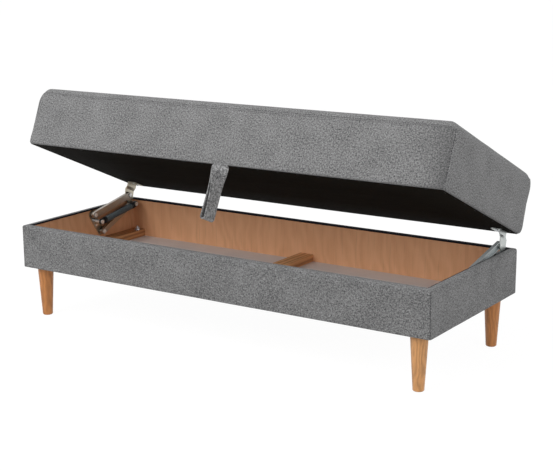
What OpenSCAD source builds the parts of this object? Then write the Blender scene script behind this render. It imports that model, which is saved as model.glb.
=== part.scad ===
// Storage bench of a corner sofa: an upholstered chest on four tapered legs,
// and a thick upholstered lid on spring-assisted four-bar hinges.
// It is drawn open, as it stands when bedding is put away.
// X runs along the width, Y to the rear and Z up. The origin lies on the floor
// under the middle of the chest.

/* [Chest] */
// Width of the chest over its fabric
chest_w = 1368; // [1200:2:1700]
// Depth of the chest over its fabric
chest_d = 518; // [500:2:700]
// Height of the chest, from its underside to its rim
chest_h = 127; // [122:1:180]
// Radius of the chest's upright edges
chest_corner_r = 8; // [7:1:16]
// Thickness of the chest's fabric with its lining
cover_t = 2; // [1:0.5:3]
// Width of the fabric folded under the chest
cover_fold = 14; // [8:1:20]
// Width of the fabric that covers the rim at the ends
end_fabric_w = 16; // [12:1:18]
// Width of the fabric that covers the rim at the rear
rear_fabric_w = 6; // [5:1:14]
// Depth to which fabric and tape reach down inside the rim
rim_drop = 4; // [3:0.5:12]
// Thickness of the black rim tape
tape_t = 2; // [1:0.5:2.5]
// Thickness of the plywood walls
panel_t = 18; // [15:1:22]
// Thickness of the hardboard bottom
bottom_t = 4; // [3:0.5:8]
// Height of the battens on the bottom
rail_h = 22; // [18:1:26]
// Width of the batten in the middle
middle_rail_w = 44; // [30:1:70]
// How far the middle batten lies right of the middle
middle_rail_x = 11; // [0:1:30]
// Width of the battens at the ends
end_rail_w = 46; // [42:1:60]
// Diameter of the wall screws
wall_screw_d = 5; // [4:0.5:6]
// Length of the wall screws
wall_screw_l = 48; // [40:1:70]

/* [Legs] */
// Height of the chest's underside above the floor
leg_h = 150; // [100:5:220]
// Diameter of a leg at its top
leg_top_d = 48; // [40:1:52]
// Diameter of a leg at its foot
leg_foot_d = 30; // [22:1:38]
// Size of the chamfer round a foot
leg_chamfer = 2; // [1:0.5:4]
// Distance of a leg's axis from the chest's end
leg_inset_x = 52; // [44:1:56]
// Distance of a leg's axis from the chest's front or rear
leg_inset_y = 42; // [40:1:70]
// Diameter of the leg bolts
leg_bolt_d = 8; // [6:1:10]
// Depth of a leg bolt in its leg
leg_bolt_depth = 40; // [25:1:60]
// Length of a leg bolt above its batten
leg_bolt_proud = 13; // [10:1:15]
// Diameter of the washers on the battens
washer_d = 20; // [16:1:24]
// Thickness of those washers
washer_t = 1.6; // [1:0.2:2.4]
// Width of the nuts over their flats
nut_flats = 13; // [12:0.5:17]
// Height of the nuts
nut_h = 6.5; // [5:0.5:8]

/* [Lid] */
// Distance of the lid's ends outside the chest's ends
lid_end_over = 7; // [0:0.5:12]
// Depth of the lid over its fabric
lid_d = 528; // [500:2:700]
// Thickness of the lid at its edges
lid_t = 181; // [140:1:200]
// Height of the crown in the lid's middle
lid_crown = 8; // [2:1:20]
// Radius along the lid's top edges
lid_top_r = 24; // [14:1:34]
// Radius along the lid's bottom edges
lid_bottom_r = 8; // [6:1:12]
// Radius of the lid's upright corners
lid_corner_r = 17; // [14:1:30]
// Thickness of the lid's fabric with its wadding
lid_cover_t = 5; // [3:0.5:5.5]
// How far the lid's sides are drawn in along their seam
seam_draw = 1.5; // [0.5:0.5:4]
// How far the long seams are drawn in at mid-side
side_draw = 2; // [0:0.5:5]
// Distance of the seam below the lid's top edge
seam_drop = 17; // [12:1:40]
// Width of the fabric folded under the lid
lid_lip = 28; // [20:1:34]
// Thickness of the black lining under the lid
lining_t = 1; // [0.5:0.5:1.5]
// Distance of the lining's edge from the lid's edge
lining_inset = 10; // [9:1:16]
// Height of the lid's wooden frame
frame_h = 45; // [30:1:60]
// Width of the front and rear members of that frame
frame_rail_w = 44; // [34:1:60]
// Width of the end members of that frame
frame_end_w = 60; // [54:1:80]
// Width of the members across the middle of that frame
frame_cross_w = 50; // [30:1:80]
// Thickness of the board on that frame
board_t = 4; // [3:0.5:8]

/* [Open lid] */
// Angle of the open lid
lid_tilt = 23.42; // [15:0.01:28]
// Distance of the open lid's lower rear edge behind the chest
lid_back = 13.8; // [8:0.1:20]
// Height of that edge above the rim
lid_rise = 32.5; // [20:0.5:40]

/* [Hinges] */
// Thickness of the hinge plates
plate_t = 3; // [2:0.5:4]
// Distance of the upper link's front pivot from the chest's rear
upper_back = 226; // [215:1:240]
// Distance of the upper link's front pivot below the rim
upper_drop = 18; // [16:1:30]
// Distance of the lower link's front pivot from the chest's rear
lower_back = 189; // [180:1:200]
// Distance of the lower link's front pivot below the rim
lower_drop = 77; // [70:1:84]
// Distance of the spring's front pin from the chest's rear
spring_back = 213; // [208:1:220]
// Distance of the spring's front pin below the rim
spring_drop = 40; // [38:1:50]
// Distance of the upper link's rear pivot from the lid's rear
upper_lid_back = 58.5; // [54:0.5:64]
// Distance of the upper link's rear pivot below the lid
upper_lid_drop = 42; // [38:1:50]
// Distance of the lower link's rear pivot from the lid's rear
lower_lid_back = 36; // [33:1:38]
// Distance of the lower link's rear pivot below the lid
lower_lid_drop = 64; // [58:1:70]
// Width of the upper link
upper_link_w = 20; // [18:1:24]
// Width of the lower link
lower_link_w = 17; // [16:1:20]
// Depth of the links' channels
link_depth = 10; // [8:0.5:14]
// Thickness of the links' sheet steel
link_wall = 2.5; // [1.5:0.5:3]
// Diameter of the links' pivots
pivot_d = 7; // [5:0.5:8]
// Diameter of the pivots' heads
pivot_head_d = 13; // [11:0.5:14]
// Thickness of the pivots' heads
pivot_head_t = 2.4; // [1.5:0.1:3]
// Diameter of the collars on the pivots
collar_d = 10; // [9:0.5:11]
// Radial play of the lower link's rear pivot
rear_play = 1.5; // [1.3:0.1:1.8]
// Width of the lid bracket
bracket_w = 42; // [34:1:46]
// Distance of the lid bracket from the lid's rear
bracket_back = 32; // [30:1:34]
// Width of the bracket's flange under the lid
flange_w = 30; // [24:1:34]
// Offset of the bracket's joggle, which passes the rim
joggle = 4.4; // [3:0.2:8]
// Height of the bracket's straight part above its joggle
strap_h = 14; // [11:1:18]
// Height of the joggle
joggle_h = 9; // [6:1:12]
// Diameter of the hinge screws
screw_d = 4; // [3:0.5:5]
// Diameter of their heads
screw_head_d = 8; // [7:0.5:9]
// Thickness of their heads
screw_head_t = 2.2; // [1.5:0.1:2.6]
// Length of the hinge screws in the wood
screw_l = 14; // [10:1:15]

/* [Springs] */
// Outer diameter of a spring
spring_d = 20; // [16:0.5:22]
// Diameter of the spring wire
wire_d = 3.2; // [2:0.1:3.4]
// Number of curls in a spring
spring_turns = 28; // [20:1:30]
// Thickness of the spring holders' eyes
eye_t = 6; // [4:0.5:8]
// Diameter of the spring holders' eyes
eye_d = 18; // [17:0.5:20]
// Distance from a pin to the shoulder of its holder
shoulder = 14; // [11:1:18]
// Thickness of a holder's shoulder
shoulder_t = 4; // [2:0.5:6]
// Length of the plug inside the spring
plug_l = 12; // [6:1:20]
// Diameter of the spring pins
spring_pin_d = 6; // [5:0.5:7]
// Radial play of the rear holder on its pin
eye_play = 1.9; // [1.7:0.1:2.2]

/* [Pull loop] */
// How far the pull loop lies right of the middle
loop_x = 24; // [0:1:60]
// Length of the pull loop
loop_l = 157; // [120:1:170]
// Width of its band
loop_w = 50; // [30:1:56]
// Thickness of its band
loop_t = 3; // [2:0.5:4]
// Half the distance between its two bands near the fold
loop_half_gap = 7; // [6:0.5:14]
// Turn of the hanging part against the sewn end
loop_twist = 96; // [60:1:110]
// Lean of the hanging part away from the chest
loop_lean = 2.5; // [1.4:0.1:5]
// Distance of its sewn end behind the lid's front face
loop_inset = 2; // [1.5:0.1:2.5]

/* [Hidden] */

$fn = 48;
arc_steps = 12;
// Overrun of every cut, and the clearances
over = 1;
bolt_gap = 0.2;
running_gap = 0.05;
side_gap = 0.6;
end_gap = 0.3;
seat_gap = 0.3;

// Levels and inner faces of the chest
rim_z = leg_h + chest_h;
board_z = leg_h + cover_t;
floor_z = board_z + bottom_t;
rail_z = floor_z + rail_h;
panel_z = rim_z - cover_t;
body_w = chest_w - 2 * cover_t;
body_d = chest_d - 2 * cover_t;
body_r = chest_corner_r - cover_t;
wall_x = body_w / 2 - panel_t;
wall_y = body_d / 2 - panel_t;

// Places of the legs, and of the wall screws along their corner
leg_x = chest_w / 2 - leg_inset_x;
leg_y = chest_d / 2 - leg_inset_y;
leg_places = [[-leg_x, -leg_y], [leg_x, -leg_y], [-leg_x, leg_y], [leg_x, leg_y]];
leg_top_z = board_z;
screw_level_shares = [0.25, 0.75];
screw_head_share = 1.8;
screw_cone_share = 0.6;
screw_reach = wall_x + panel_t / 2 + screw_head_share * wall_screw_d / 2 - body_w / 2 + body_r;
screw_sink = bolt_gap + body_r - sqrt(pow(body_r, 2) - pow(max(screw_reach, 0), 2));

// The lid's own frame: its lower rear edge is at the origin, and -Y is its front
frame_z = lining_t + lid_cover_t;
board_bottom = frame_z + frame_h;
foam_z = board_bottom + board_t;
frame_inset = lid_bottom_r + bolt_gap;
lid_w = chest_w + 2 * lid_end_over;
frame_w = lid_w - 2 * frame_inset;
frame_d = lid_d - 2 * frame_inset;
frame_r = max(lid_corner_r - frame_inset, bolt_gap);
cross_shares = [-1 / 6, 1 / 6];
lid_y = chest_d / 2 + lid_back;
lid_z = rim_z + lid_rise;

// Pivots of a hinge, as [y, z]
function on_lid(back, up) =
    [lid_y - back * cos(lid_tilt) + up * sin(lid_tilt),
     lid_z + back * sin(lid_tilt) + up * cos(lid_tilt)];
upper_front = [chest_d / 2 - upper_back, rim_z - upper_drop];
lower_front = [chest_d / 2 - lower_back, rim_z - lower_drop];
upper_rear = on_lid(upper_lid_back, -upper_lid_drop);
lower_rear = on_lid(lower_lid_back, -lower_lid_drop);
spring_front = [chest_d / 2 - spring_back, rim_z - spring_drop];

// Depths of a hinge's layers, counted from the inner face of the end wall
bracket_in = max(plate_t, tape_t) + side_gap;
link_in = bracket_in + plate_t + side_gap;
link_out = link_in + link_depth;
spring_mid = link_out + 2 * side_gap + spring_d / 2;
eye_in = spring_mid - eye_t / 2;
eye_out = spring_mid + eye_t / 2;
strap_in = bracket_in + joggle;

// The spring lies along a line from its front pin to the lower link's rear pivot
spring_line = lower_rear - spring_front;
spring_len = norm(spring_line);
spring_angle = atan2(spring_line[1], spring_line[0]);
coil_r = (spring_d - wire_d) / 2;
coil_start = shoulder + shoulder_t;
bend_r = 0.8 * wire_d;
coil_lead = wire_d + bend_r;
coil_span = spring_len - 2 * coil_start - 2 * coil_lead;
coil_pitch = coil_span / spring_turns;
curl_steps = 8;
wire_sides = 6;
plug_d = spring_d - 2 * wire_d - 4 * end_gap;

// Shape of the base plate, and of its screws beside the pivots
plate_r = upper_link_w / 2 + plate_t;
plate_screw_shares = [0.3, 0.62];
plate_screw_side = 0.55 * plate_r;

// Steps and shares of the lid's cushion form
corner_steps = 3;
side_shares = [0.5, 0, -0.5];
round_steps = 4;
fold_steps = 4;
crown_shares = [0.12, 0.35, 0.65, 1];
waist_share = 0.45;
cap_share = 0.95;
min_corner = lid_corner_r / 5;

// Path of the pull loop
loop_top_r = loop_t / 2 + seat_gap;
loop_pivot_drop =
    sqrt(pow(lid_bottom_r + loop_top_r + loop_t / 2 + seat_gap, 2)
         - pow(lid_bottom_r - loop_inset, 2)) - lid_bottom_r - lining_t;
loop_leg_steps = 14;
loop_fold_steps = 6;
loop_top_steps = 4;
twist_start_share = 0.02;
twist_end_share = 0.42;
loop_side_share = 0.55;

// Rounded block from z0 to z1, with upright edges of radius r
module rounded_block(w, d, r, z0, z1) {
    translate([0, 0, z0]) linear_extrude(z1 - z0) {
        square([w - 2 * r, d], center = true);
        square([w, d - 2 * r], center = true);
        for (sx = [-1, 1], sy = [-1, 1])
            translate([sx * (w / 2 - r), sy * (d / 2 - r)]) circle(r);
    }
}

// Block given by its lowest and highest corners
module block(low, high) {
    translate(low) cube(high - low);
}

// Draws a left-hand piece, and mirrors it for the right
module on_side(side) {
    if (side < 0) children();
    else mirror([1, 0, 0]) children();
}

// Extrudes a [y, z] drawing through a hinge layer of the left end
module layer(from, to) {
    translate([from - wall_x, 0, 0]) rotate([90, 0, 90]) linear_extrude(to - from) children();
}

// Round bar across a hinge layer of the left end, about a pivot
module pin(place, d, from, to) {
    translate([from - wall_x, place[0], place[1]]) rotate([0, 90, 0]) cylinder(d = d, h = to - from);
}

// Points of an arc about a centre
function arc(centre, r, from, to) =
    [for (i = [0 : arc_steps]) let (a = from + (to - from) * i / arc_steps) centre + r * [cos(a), sin(a)]];
function angle(v) = atan2(v[1], v[0]);

// Outline of a flat bar with round ends between two pivots
function bar_outline(a, b, r) =
    let (side = angle(b - a) - 90) concat(arc(a, r, side - 180, side), arc(b, r, side, side + 180));

module bar(a, b, w) {
    polygon(bar_outline(a, b, w / 2));
}

// Moves a piece drawn in the lid's own frame to the open lid
module open_lid() {
    translate([0, lid_y, lid_z]) rotate([-lid_tilt, 0, 0]) children();
}

// Solid between rings of points, each ring having n of them, closed by a fan at either end
function mean(points, i = 0) = i == len(points) ? [0, 0, 0] : points[i] / len(points) + mean(points, i + 1);
module ring_solid(rings) {
    n = len(rings[0]);
    last = len(rings) - 1;
    first_mid = (last + 1) * n;
    sides = [for (i = [0 : last - 1], j = [0 : n - 1], half = [0, 1])
        half == 0 ? [i * n + j, (i + 1) * n + j, (i + 1) * n + (j + 1) % n]
                  : [i * n + j, (i + 1) * n + (j + 1) % n, i * n + (j + 1) % n]];
    first_cap = [for (j = [0 : n - 1]) [first_mid, j, (j + 1) % n]];
    last_cap = [for (j = [0 : n - 1]) [first_mid + 1, last * n + (j + 1) % n, last * n + j]];
    polyhedron(concat([for (ring = rings) each ring], [mean(rings[0]), mean(rings[last])]),
               concat(sides, first_cap, last_cap));
}

// Walls, bottom and battens of the chest

module wall_blank(low, high) {
    intersection() {
        rounded_block(body_w, body_d, body_r, floor_z, panel_z);
        block(low, high);
    }
}

module wall_screw_cuts(d, gap) {
    for (sx = [-1, 1], sy = [-1, 1], share = screw_level_shares)
        translate([sx * (wall_x + panel_t / 2), sy * (body_d / 2 - screw_sink),
                   floor_z + share * (panel_z - floor_z)])
            rotate([sy * 90, 0, 0]) {
                cylinder(d = d + 2 * gap, h = wall_screw_l + gap);
                cylinder(d1 = screw_head_share * d + 2 * gap, d2 = d + 2 * gap, h = screw_cone_share * d);
                if (gap > 0) translate([0, 0, -screw_sink - over])
                    cylinder(d = screw_head_share * d + 2 * gap, h = screw_sink + over);
            }
}

module wall_screws() {
    color("silver") wall_screw_cuts(wall_screw_d, 0);
}

module long_panel(side) {
    color("peru") difference() {
        wall_blank([-body_w / 2, min(side * wall_y, side * body_d / 2), floor_z],
                   [body_w / 2, max(side * wall_y, side * body_d / 2), panel_z]);
        wall_screw_cuts(wall_screw_d, bolt_gap);
    }
}

module end_panel(side) {
    color("peru") on_side(side) difference() {
        block([-wall_x - panel_t, -wall_y, floor_z], [-wall_x, wall_y, panel_z]);
        wall_screw_cuts(wall_screw_d, bolt_gap);
        plate_screw_cuts(screw_d, bolt_gap);
    }
}

module leg_bolt_cuts(from, to) {
    for (place = leg_places)
        translate([place[0], place[1], from - over])
            cylinder(d = leg_bolt_d + 2 * bolt_gap, h = to - from + 2 * over);
}

module bottom_board() {
    color("lightgray") difference() {
        rounded_block(body_w, body_d, body_r, board_z, floor_z);
        leg_bolt_cuts(board_z, floor_z);
    }
}

module end_rail(side) {
    color("sandybrown") on_side(side) difference() {
        block([-wall_x, -wall_y, floor_z], [-wall_x + end_rail_w, wall_y, rail_z]);
        leg_bolt_cuts(floor_z, rail_z);
    }
}

module middle_rail() {
    color("sandybrown")
        block([middle_rail_x - middle_rail_w / 2, -wall_y, floor_z],
              [middle_rail_x + middle_rail_w / 2, wall_y, rail_z]);
}

// Fabric of the chest: its four sides, the fold under it and the rim
module chest_cover() {
    rim_x = chest_w / 2 - end_fabric_w;
    rim_y = chest_d / 2 - rear_fabric_w;
    color("gray") {
        difference() {
            rounded_block(chest_w, chest_d, chest_corner_r, leg_h, rim_z);
            rounded_block(body_w, body_d, body_r, board_z, panel_z);
            block([-chest_w / 2 + cover_fold, -chest_d / 2 + cover_fold, leg_h - over],
                  [chest_w / 2 - cover_fold, chest_d / 2 - cover_fold, board_z + over]);
            block([-rim_x, -wall_y, panel_z - over], [rim_x, rim_y, rim_z + over]);
        }
        block([-wall_x + tape_t, -wall_y, rim_z - rim_drop], [wall_x - tape_t, -wall_y + cover_t, rim_z]);
    }
}

// Black tape on the inner part of the rim, at the rear and at both ends
module rim_tape() {
    rim_x = chest_w / 2 - end_fabric_w;
    rim_y = chest_d / 2 - rear_fabric_w;
    color("black") difference() {
        block([-rim_x, -wall_y, rim_z - rim_drop], [rim_x, rim_y, rim_z]);
        block([-wall_x - panel_t, wall_y, rim_z - rim_drop - over], [wall_x + panel_t, rim_y + over, panel_z]);
        for (side = [-1, 1])
            block([min(side * wall_x, side * (rim_x + over)), -wall_y - over, rim_z - rim_drop - over],
                  [max(side * wall_x, side * (rim_x + over)), rim_y + over, panel_z]);
        block([-wall_x + tape_t, -wall_y - over, rim_z - rim_drop - over],
              [wall_x - tape_t, wall_y - tape_t, rim_z + over]);
    }
}

// Legs with their bolts, washers and nuts

module leg(place) {
    color("burlywood") translate([place[0], place[1], 0]) difference() {
        union() {
            cylinder(d1 = leg_foot_d - 2 * leg_chamfer, d2 = leg_foot_d, h = leg_chamfer);
            translate([0, 0, leg_chamfer])
                cylinder(d1 = leg_foot_d, d2 = leg_top_d, h = leg_top_z - leg_chamfer);
        }
        translate([0, 0, leg_top_z - leg_bolt_depth])
            cylinder(d = leg_bolt_d + 2 * running_gap, h = leg_bolt_depth + over);
    }
}

module leg_bolts() {
    color("silver") for (place = leg_places)
        translate([place[0], place[1], leg_top_z - leg_bolt_depth])
            cylinder(d = leg_bolt_d, h = leg_bolt_depth + rail_z - leg_top_z + leg_bolt_proud);
}

module ring_on_rail(d, sides, low, high) {
    for (place = leg_places) translate([place[0], place[1], low]) difference() {
        cylinder(d = d, h = high - low, $fn = sides);
        translate([0, 0, -over])
            cylinder(d = leg_bolt_d + 2 * running_gap, h = high - low + 2 * over);
    }
}

module leg_washers() {
    color("silver") ring_on_rail(washer_d, $fn, rail_z, rail_z + washer_t);
}

module leg_nuts() {
    color("gray") ring_on_rail(nut_flats / cos(180 / 6), 6, rail_z + washer_t, rail_z + washer_t + nut_h);
}

// Fixed half of a hinge, on the inner face of an end wall

function plate_screw_place(share) =
    upper_front + share * (lower_front - upper_front) - [plate_screw_side, 0];

module plate_screw_cuts(d, gap) {
    for (share = plate_screw_shares)
        pin(plate_screw_place(share), d + 2 * gap, -screw_l - gap, plate_t + over);
}

module base_plate(side) {
    color("darkgray") on_side(side) difference() {
        layer(0, plate_t) bar(upper_front, lower_front, 2 * plate_r);
        plate_screw_cuts(screw_d, bolt_gap);
        for (place = [upper_front, lower_front]) pin(place, pivot_d + 2 * running_gap, -over, plate_t + over);
        pin(spring_front, spring_pin_d + 2 * running_gap, -over, plate_t + over);
        block([-wall_x - over, -wall_y, rim_z - rim_drop - seat_gap], [-wall_x + plate_t + over, wall_y, rim_z]);
    }
}

module plate_screws(side) {
    color("silver") on_side(side) for (share = plate_screw_shares) {
        pin(plate_screw_place(share), screw_d, -screw_l, plate_t);
        pin(plate_screw_place(share), screw_head_d, plate_t, plate_t + screw_head_t);
    }
}

// Stepped pin: a shaft, a collar behind the moving piece and a head before it
module pivot(place, d, from, collar_from, collar_to, head_from) {
    pin(place, d, from, head_from);
    pin(place, collar_d, collar_from, collar_to);
    pin(place, pivot_head_d, head_from, head_from + pivot_head_t);
}

module base_pivots(side) {
    web_in = link_out - link_wall;
    color("lightgray") on_side(side) {
        for (place = [upper_front, lower_front])
            pivot(place, pivot_d, 0, plate_t, web_in - end_gap, link_out + end_gap);
        pivot(spring_front, spring_pin_d, 0, plate_t, eye_in - end_gap, eye_out + end_gap);
    }
}

// Links: channels that open towards the wall

module link(front, rear, w, rear_d) {
    difference() {
        layer(link_in, link_out) bar(front, rear, w);
        layer(link_in - over, link_out - link_wall) bar(front, rear, w - 2 * link_wall);
        pin(front, pivot_d + 2 * running_gap, link_in, link_out + over);
        pin(rear, rear_d, link_in, link_out + over);
    }
}

module upper_link(side) {
    color("silver") on_side(side)
        link(upper_front, upper_rear, upper_link_w, pivot_d + 2 * running_gap);
}

module lower_link(side) {
    color("silver") on_side(side)
        link(lower_front, lower_rear, lower_link_w, spring_pin_d + 2 * rear_play);
}

// Moving half of a hinge, under the lid

bracket_upper = [-upper_lid_back, -upper_lid_drop];
bracket_lower = [-lower_lid_back, -lower_lid_drop];
bracket_r = upper_link_w / 2;
joggle_z = -strap_h - joggle_h;

// Outline of the bracket's plate: straight beside the joggle, then tangent to a round end at each pivot
function tangent(centre, point, r, side) = angle(point - centre) + side * acos(r / norm(point - centre));
bracket_outline =
    let (front = -bracket_back - bracket_w, low = joggle_z - plate_t,
         from = tangent(bracket_upper, [front, low], bracket_r, 1),
         mid = angle(bracket_lower - bracket_upper) - 90,
         to = tangent(bracket_lower, [-bracket_back, low], bracket_r, -1))
    concat([[front, joggle_z], [front, low]],
           arc(bracket_upper, bracket_r, (from + 360) % 360, (mid + 360) % 360),
           arc(bracket_lower, bracket_r, (mid + 360) % 360, (to + 360) % 360 + 360),
           [[-bracket_back, low], [-bracket_back, joggle_z]]);

// Screws of the bracket, as [depth, y] in the lid's frame
bracket_screw_x = strap_in + plate_t + (flange_w - plate_t) / 2;
bracket_screw_ys = [-bracket_back - bracket_w * 0.25, -bracket_back - bracket_w * 0.75];

module bracket_screw_cuts(d, gap) {
    for (y = bracket_screw_ys)
        translate([bracket_screw_x - wall_x, y, -plate_t - over])
            cylinder(d = d + 2 * gap, h = plate_t + over + frame_z + screw_l + gap);
}

module lid_bracket(side) {
    foot_z = joggle_z - plate_t;
    color("silver") open_lid() on_side(side) difference() {
        union() {
            translate([-wall_x, -bracket_back, 0]) rotate([90, 0, 0]) linear_extrude(bracket_w)
                polygon([[strap_in, 0], [strap_in, -strap_h], [bracket_in, joggle_z],
                         [bracket_in, foot_z], [bracket_in + plate_t, foot_z],
                         [bracket_in + plate_t, joggle_z], [strap_in + plate_t, -strap_h],
                         [strap_in + plate_t, -plate_t], [strap_in + flange_w, -plate_t],
                         [strap_in + flange_w, 0]]);
            layer(bracket_in, bracket_in + plate_t) polygon(bracket_outline);
        }
        bracket_screw_cuts(screw_d, bolt_gap);
        pin(bracket_upper, pivot_d + 2 * running_gap, bracket_in - over, bracket_in + plate_t + over);
        pin(bracket_lower, spring_pin_d + 2 * running_gap, bracket_in - over, bracket_in + plate_t + over);
    }
}

module bracket_screws(side) {
    color("silver") open_lid() on_side(side) for (y = bracket_screw_ys)
        translate([bracket_screw_x - wall_x, y, 0]) {
            translate([0, 0, -plate_t]) cylinder(d = screw_d, h = plate_t + frame_z + screw_l);
            translate([0, 0, -plate_t - screw_head_t]) cylinder(d = screw_head_d, h = screw_head_t);
        }
}

module bracket_pivots(side) {
    web_in = link_out - link_wall;
    color("lightgray") open_lid() on_side(side) {
        pivot(bracket_upper, pivot_d, bracket_in, bracket_in + plate_t, web_in - end_gap, link_out + end_gap);
        pivot(bracket_lower, spring_pin_d, bracket_in, link_out + end_gap, eye_in - end_gap, eye_out + end_gap);
    }
}

// Springs, drawn along Y from the front pin

module on_spring(side) {
    on_side(side) translate([spring_mid - wall_x, spring_front[0], spring_front[1]])
        rotate([spring_angle, 0, 0]) children();
}

// Holder with an eye about the origin, a shoulder and a plug along Y
module spring_holder(hole_d) {
    difference() {
        union() {
            translate([-eye_t / 2, 0, 0]) rotate([0, 90, 0]) cylinder(d = eye_d, h = eye_t);
            block([-eye_t / 2, 0, -eye_d / 2], [eye_t / 2, shoulder, eye_d / 2]);
            translate([0, shoulder, 0]) rotate([-90, 0, 0]) cylinder(d = spring_d + wire_d / 2, h = shoulder_t);
            translate([0, coil_start, 0]) rotate([-90, 0, 0]) cylinder(d = plug_d, h = plug_l);
        }
        translate([-eye_t / 2 - over, 0, 0]) rotate([0, 90, 0]) cylinder(d = hole_d, h = eye_t + 2 * over);
    }
}

module spring_front_holder(side) {
    color("#202224") on_spring(side) spring_holder(spring_pin_d + 2 * running_gap);
}

module spring_rear_holder(side) {
    color("#202224") on_spring(side) translate([0, spring_len, 0]) mirror([0, 1, 0])
        spring_holder(spring_pin_d + 2 * eye_play);
}

// Centre line of a spring: a straight end, a bend, the curls, a bend and a straight end
function curl_point(turn) =
    [coil_r * cos(360 * turn), coil_start + coil_lead + coil_pitch * turn, coil_r * sin(360 * turn)];
spring_path = concat(
    [[coil_r, coil_start, -bend_r], [coil_r, coil_start + wire_d, -bend_r],
     [coil_r, coil_start + wire_d + bend_r * sin(45), -bend_r * cos(45)]],
    [for (i = [0 : spring_turns * curl_steps]) curl_point(i / curl_steps)],
    [[coil_r, spring_len - coil_start - wire_d - bend_r * sin(45), bend_r * cos(45)],
     [coil_r, spring_len - coil_start - wire_d, bend_r], [coil_r, spring_len - coil_start, bend_r]]);

function unit(v) = v / norm(v);
function path_way(path, i) =
    i == 0 ? [0, 1, 0] : i == len(path) - 1 ? [0, 1, 0] : unit(path[i + 1] - path[i - 1]);
function wire_ring(path, i) =
    let (way = path_way(path, i),
         out = unit([path[i][0], 0, path[i][2]]),
         side = unit(cross(way, out)),
         up = cross(side, way))
    [for (k = [0 : wire_sides - 1])
        path[i] + wire_d / 2 * (cos(360 * k / wire_sides) * side - sin(360 * k / wire_sides) * up)];

module spring(side) {
    color("#33383a") on_spring(side)
        ring_solid([for (i = [0 : len(spring_path) - 1]) wire_ring(spring_path, i)]);
}

// Least gap between a spring's curls, measured on the points of its centre line
spring_gap = min([for (i = [0 : len(spring_path) - 1], j = [i + curl_steps / 2 : len(spring_path) - 1])
    norm(spring_path[i] - spring_path[j])]) - wire_d;
echo(least_gap_of_a_spring_to_itself = spring_gap);

// Frame and board of the lid

module frame_block(low, high) {
    intersection() {
        translate([0, -lid_d / 2, 0]) rounded_block(frame_w, frame_d, frame_r, low[2], high[2]);
        block(low, high);
    }
}

module lid_rail(low, high) {
    color("wheat") open_lid() difference() {
        frame_block(low, high);
        for (side = [-1, 1]) on_side(side) bracket_screw_cuts(screw_d, bolt_gap);
    }
}

module lid_front_rail() {
    lid_rail([-frame_w / 2, -lid_d + frame_inset, frame_z],
             [frame_w / 2, -lid_d + frame_inset + frame_rail_w, board_bottom]);
}

module lid_rear_rail() {
    lid_rail([-frame_w / 2, -frame_inset - frame_rail_w, frame_z],
             [frame_w / 2, -frame_inset, board_bottom]);
}

module lid_end_rail(side) {
    x = side * frame_w / 2;
    inner = side * (frame_w / 2 - frame_end_w);
    lid_rail([min(x, inner), -lid_d + frame_inset + frame_rail_w, frame_z],
             [max(x, inner), -frame_inset - frame_rail_w, board_bottom]);
}

module lid_cross_rails() {
    color("wheat") open_lid() for (share = cross_shares)
        block([share * frame_w - frame_cross_w / 2, -lid_d + frame_inset + frame_rail_w, frame_z],
              [share * frame_w + frame_cross_w / 2, -frame_inset - frame_rail_w, board_bottom]);
}

module lid_board() {
    color("tan") open_lid()
        frame_block([-frame_w / 2, -lid_d + frame_inset, board_bottom], [frame_w / 2, -frame_inset, foam_z]);
}

// Cushion form of the lid

// Outline of the lid drawn in by inset, with its long sides drawn in by draw at their middle
function lid_ring(inset, z, draw) =
    let (hx = lid_w / 2 - inset, hy = lid_d / 2 - inset,
         r = min(max(lid_corner_r - inset, min_corner), hy))
    [for (k = [0 : 3])
        let (sx = (k == 0 || k == 3) ? 1 : -1, sy = k < 2 ? 1 : -1)
        each concat(
            [for (s = [0 : corner_steps])
                let (a = 90 * (k + s / corner_steps))
                [sx * (hx - r) + r * cos(a), sy * (hy - r) + r * sin(a) - lid_d / 2, z]],
            [for (u = side_shares) k % 2 == 0
                ? [sx * (hx - r) * u, sy * (hy - draw * (1 - u * u)) - lid_d / 2, z]
                : [sx * (hx - draw / 2 * (1 - u * u)), sy * (hy - r) * u - lid_d / 2, z]])];

// Section of the cushion as [inset, z, draw], at a depth of t below its outer face
function lid_fold(t) = concat(
    [[lid_lip, lining_t + t, 0]],
    [for (s = [0 : fold_steps]) let (a = 90 * s / fold_steps, r = lid_bottom_r - t)
        [lid_bottom_r - r * sin(a), lining_t + lid_bottom_r - r * cos(a), 0]]);
function lid_side(t) = [
    [t, lining_t + lid_bottom_r + waist_share * (lid_t - lid_bottom_r - seam_drop), side_draw / 2],
    [t + seam_draw, lid_t - max(seam_drop, lid_top_r + seam_draw), side_draw]];
function lid_top(t) = concat(
    [for (s = [0 : round_steps]) let (a = 90 * s / round_steps, r = lid_top_r - t)
        [lid_top_r - r * cos(a), lid_t - lid_top_r + r * sin(a), side_draw * (1 - s / round_steps)]],
    [for (u = crown_shares)
        [lid_top_r + u * (cap_share * lid_d / 2 - lid_top_r), lid_t - t + lid_crown * (1 - (1 - u) * (1 - u)), 0]]);
function backwards(list) = [for (i = [len(list) - 1 : -1 : 0]) list[i]];
function lid_rings(sections) = [for (s = sections) lid_ring(s[0], s[1], s[2])];

module lid_cover() {
    color("gray") open_lid()
        ring_solid(lid_rings(concat(
            backwards(lid_top(lid_cover_t)), backwards(lid_side(lid_cover_t)), backwards(lid_fold(lid_cover_t)),
            lid_fold(0), lid_side(0), lid_top(0))));
}

module lid_foam() {
    t = lid_cover_t + side_gap;
    color("lightyellow") open_lid()
        ring_solid(lid_rings(concat([[t + seam_draw, foam_z, side_draw]], lid_side(t), lid_top(t))));
}

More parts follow.
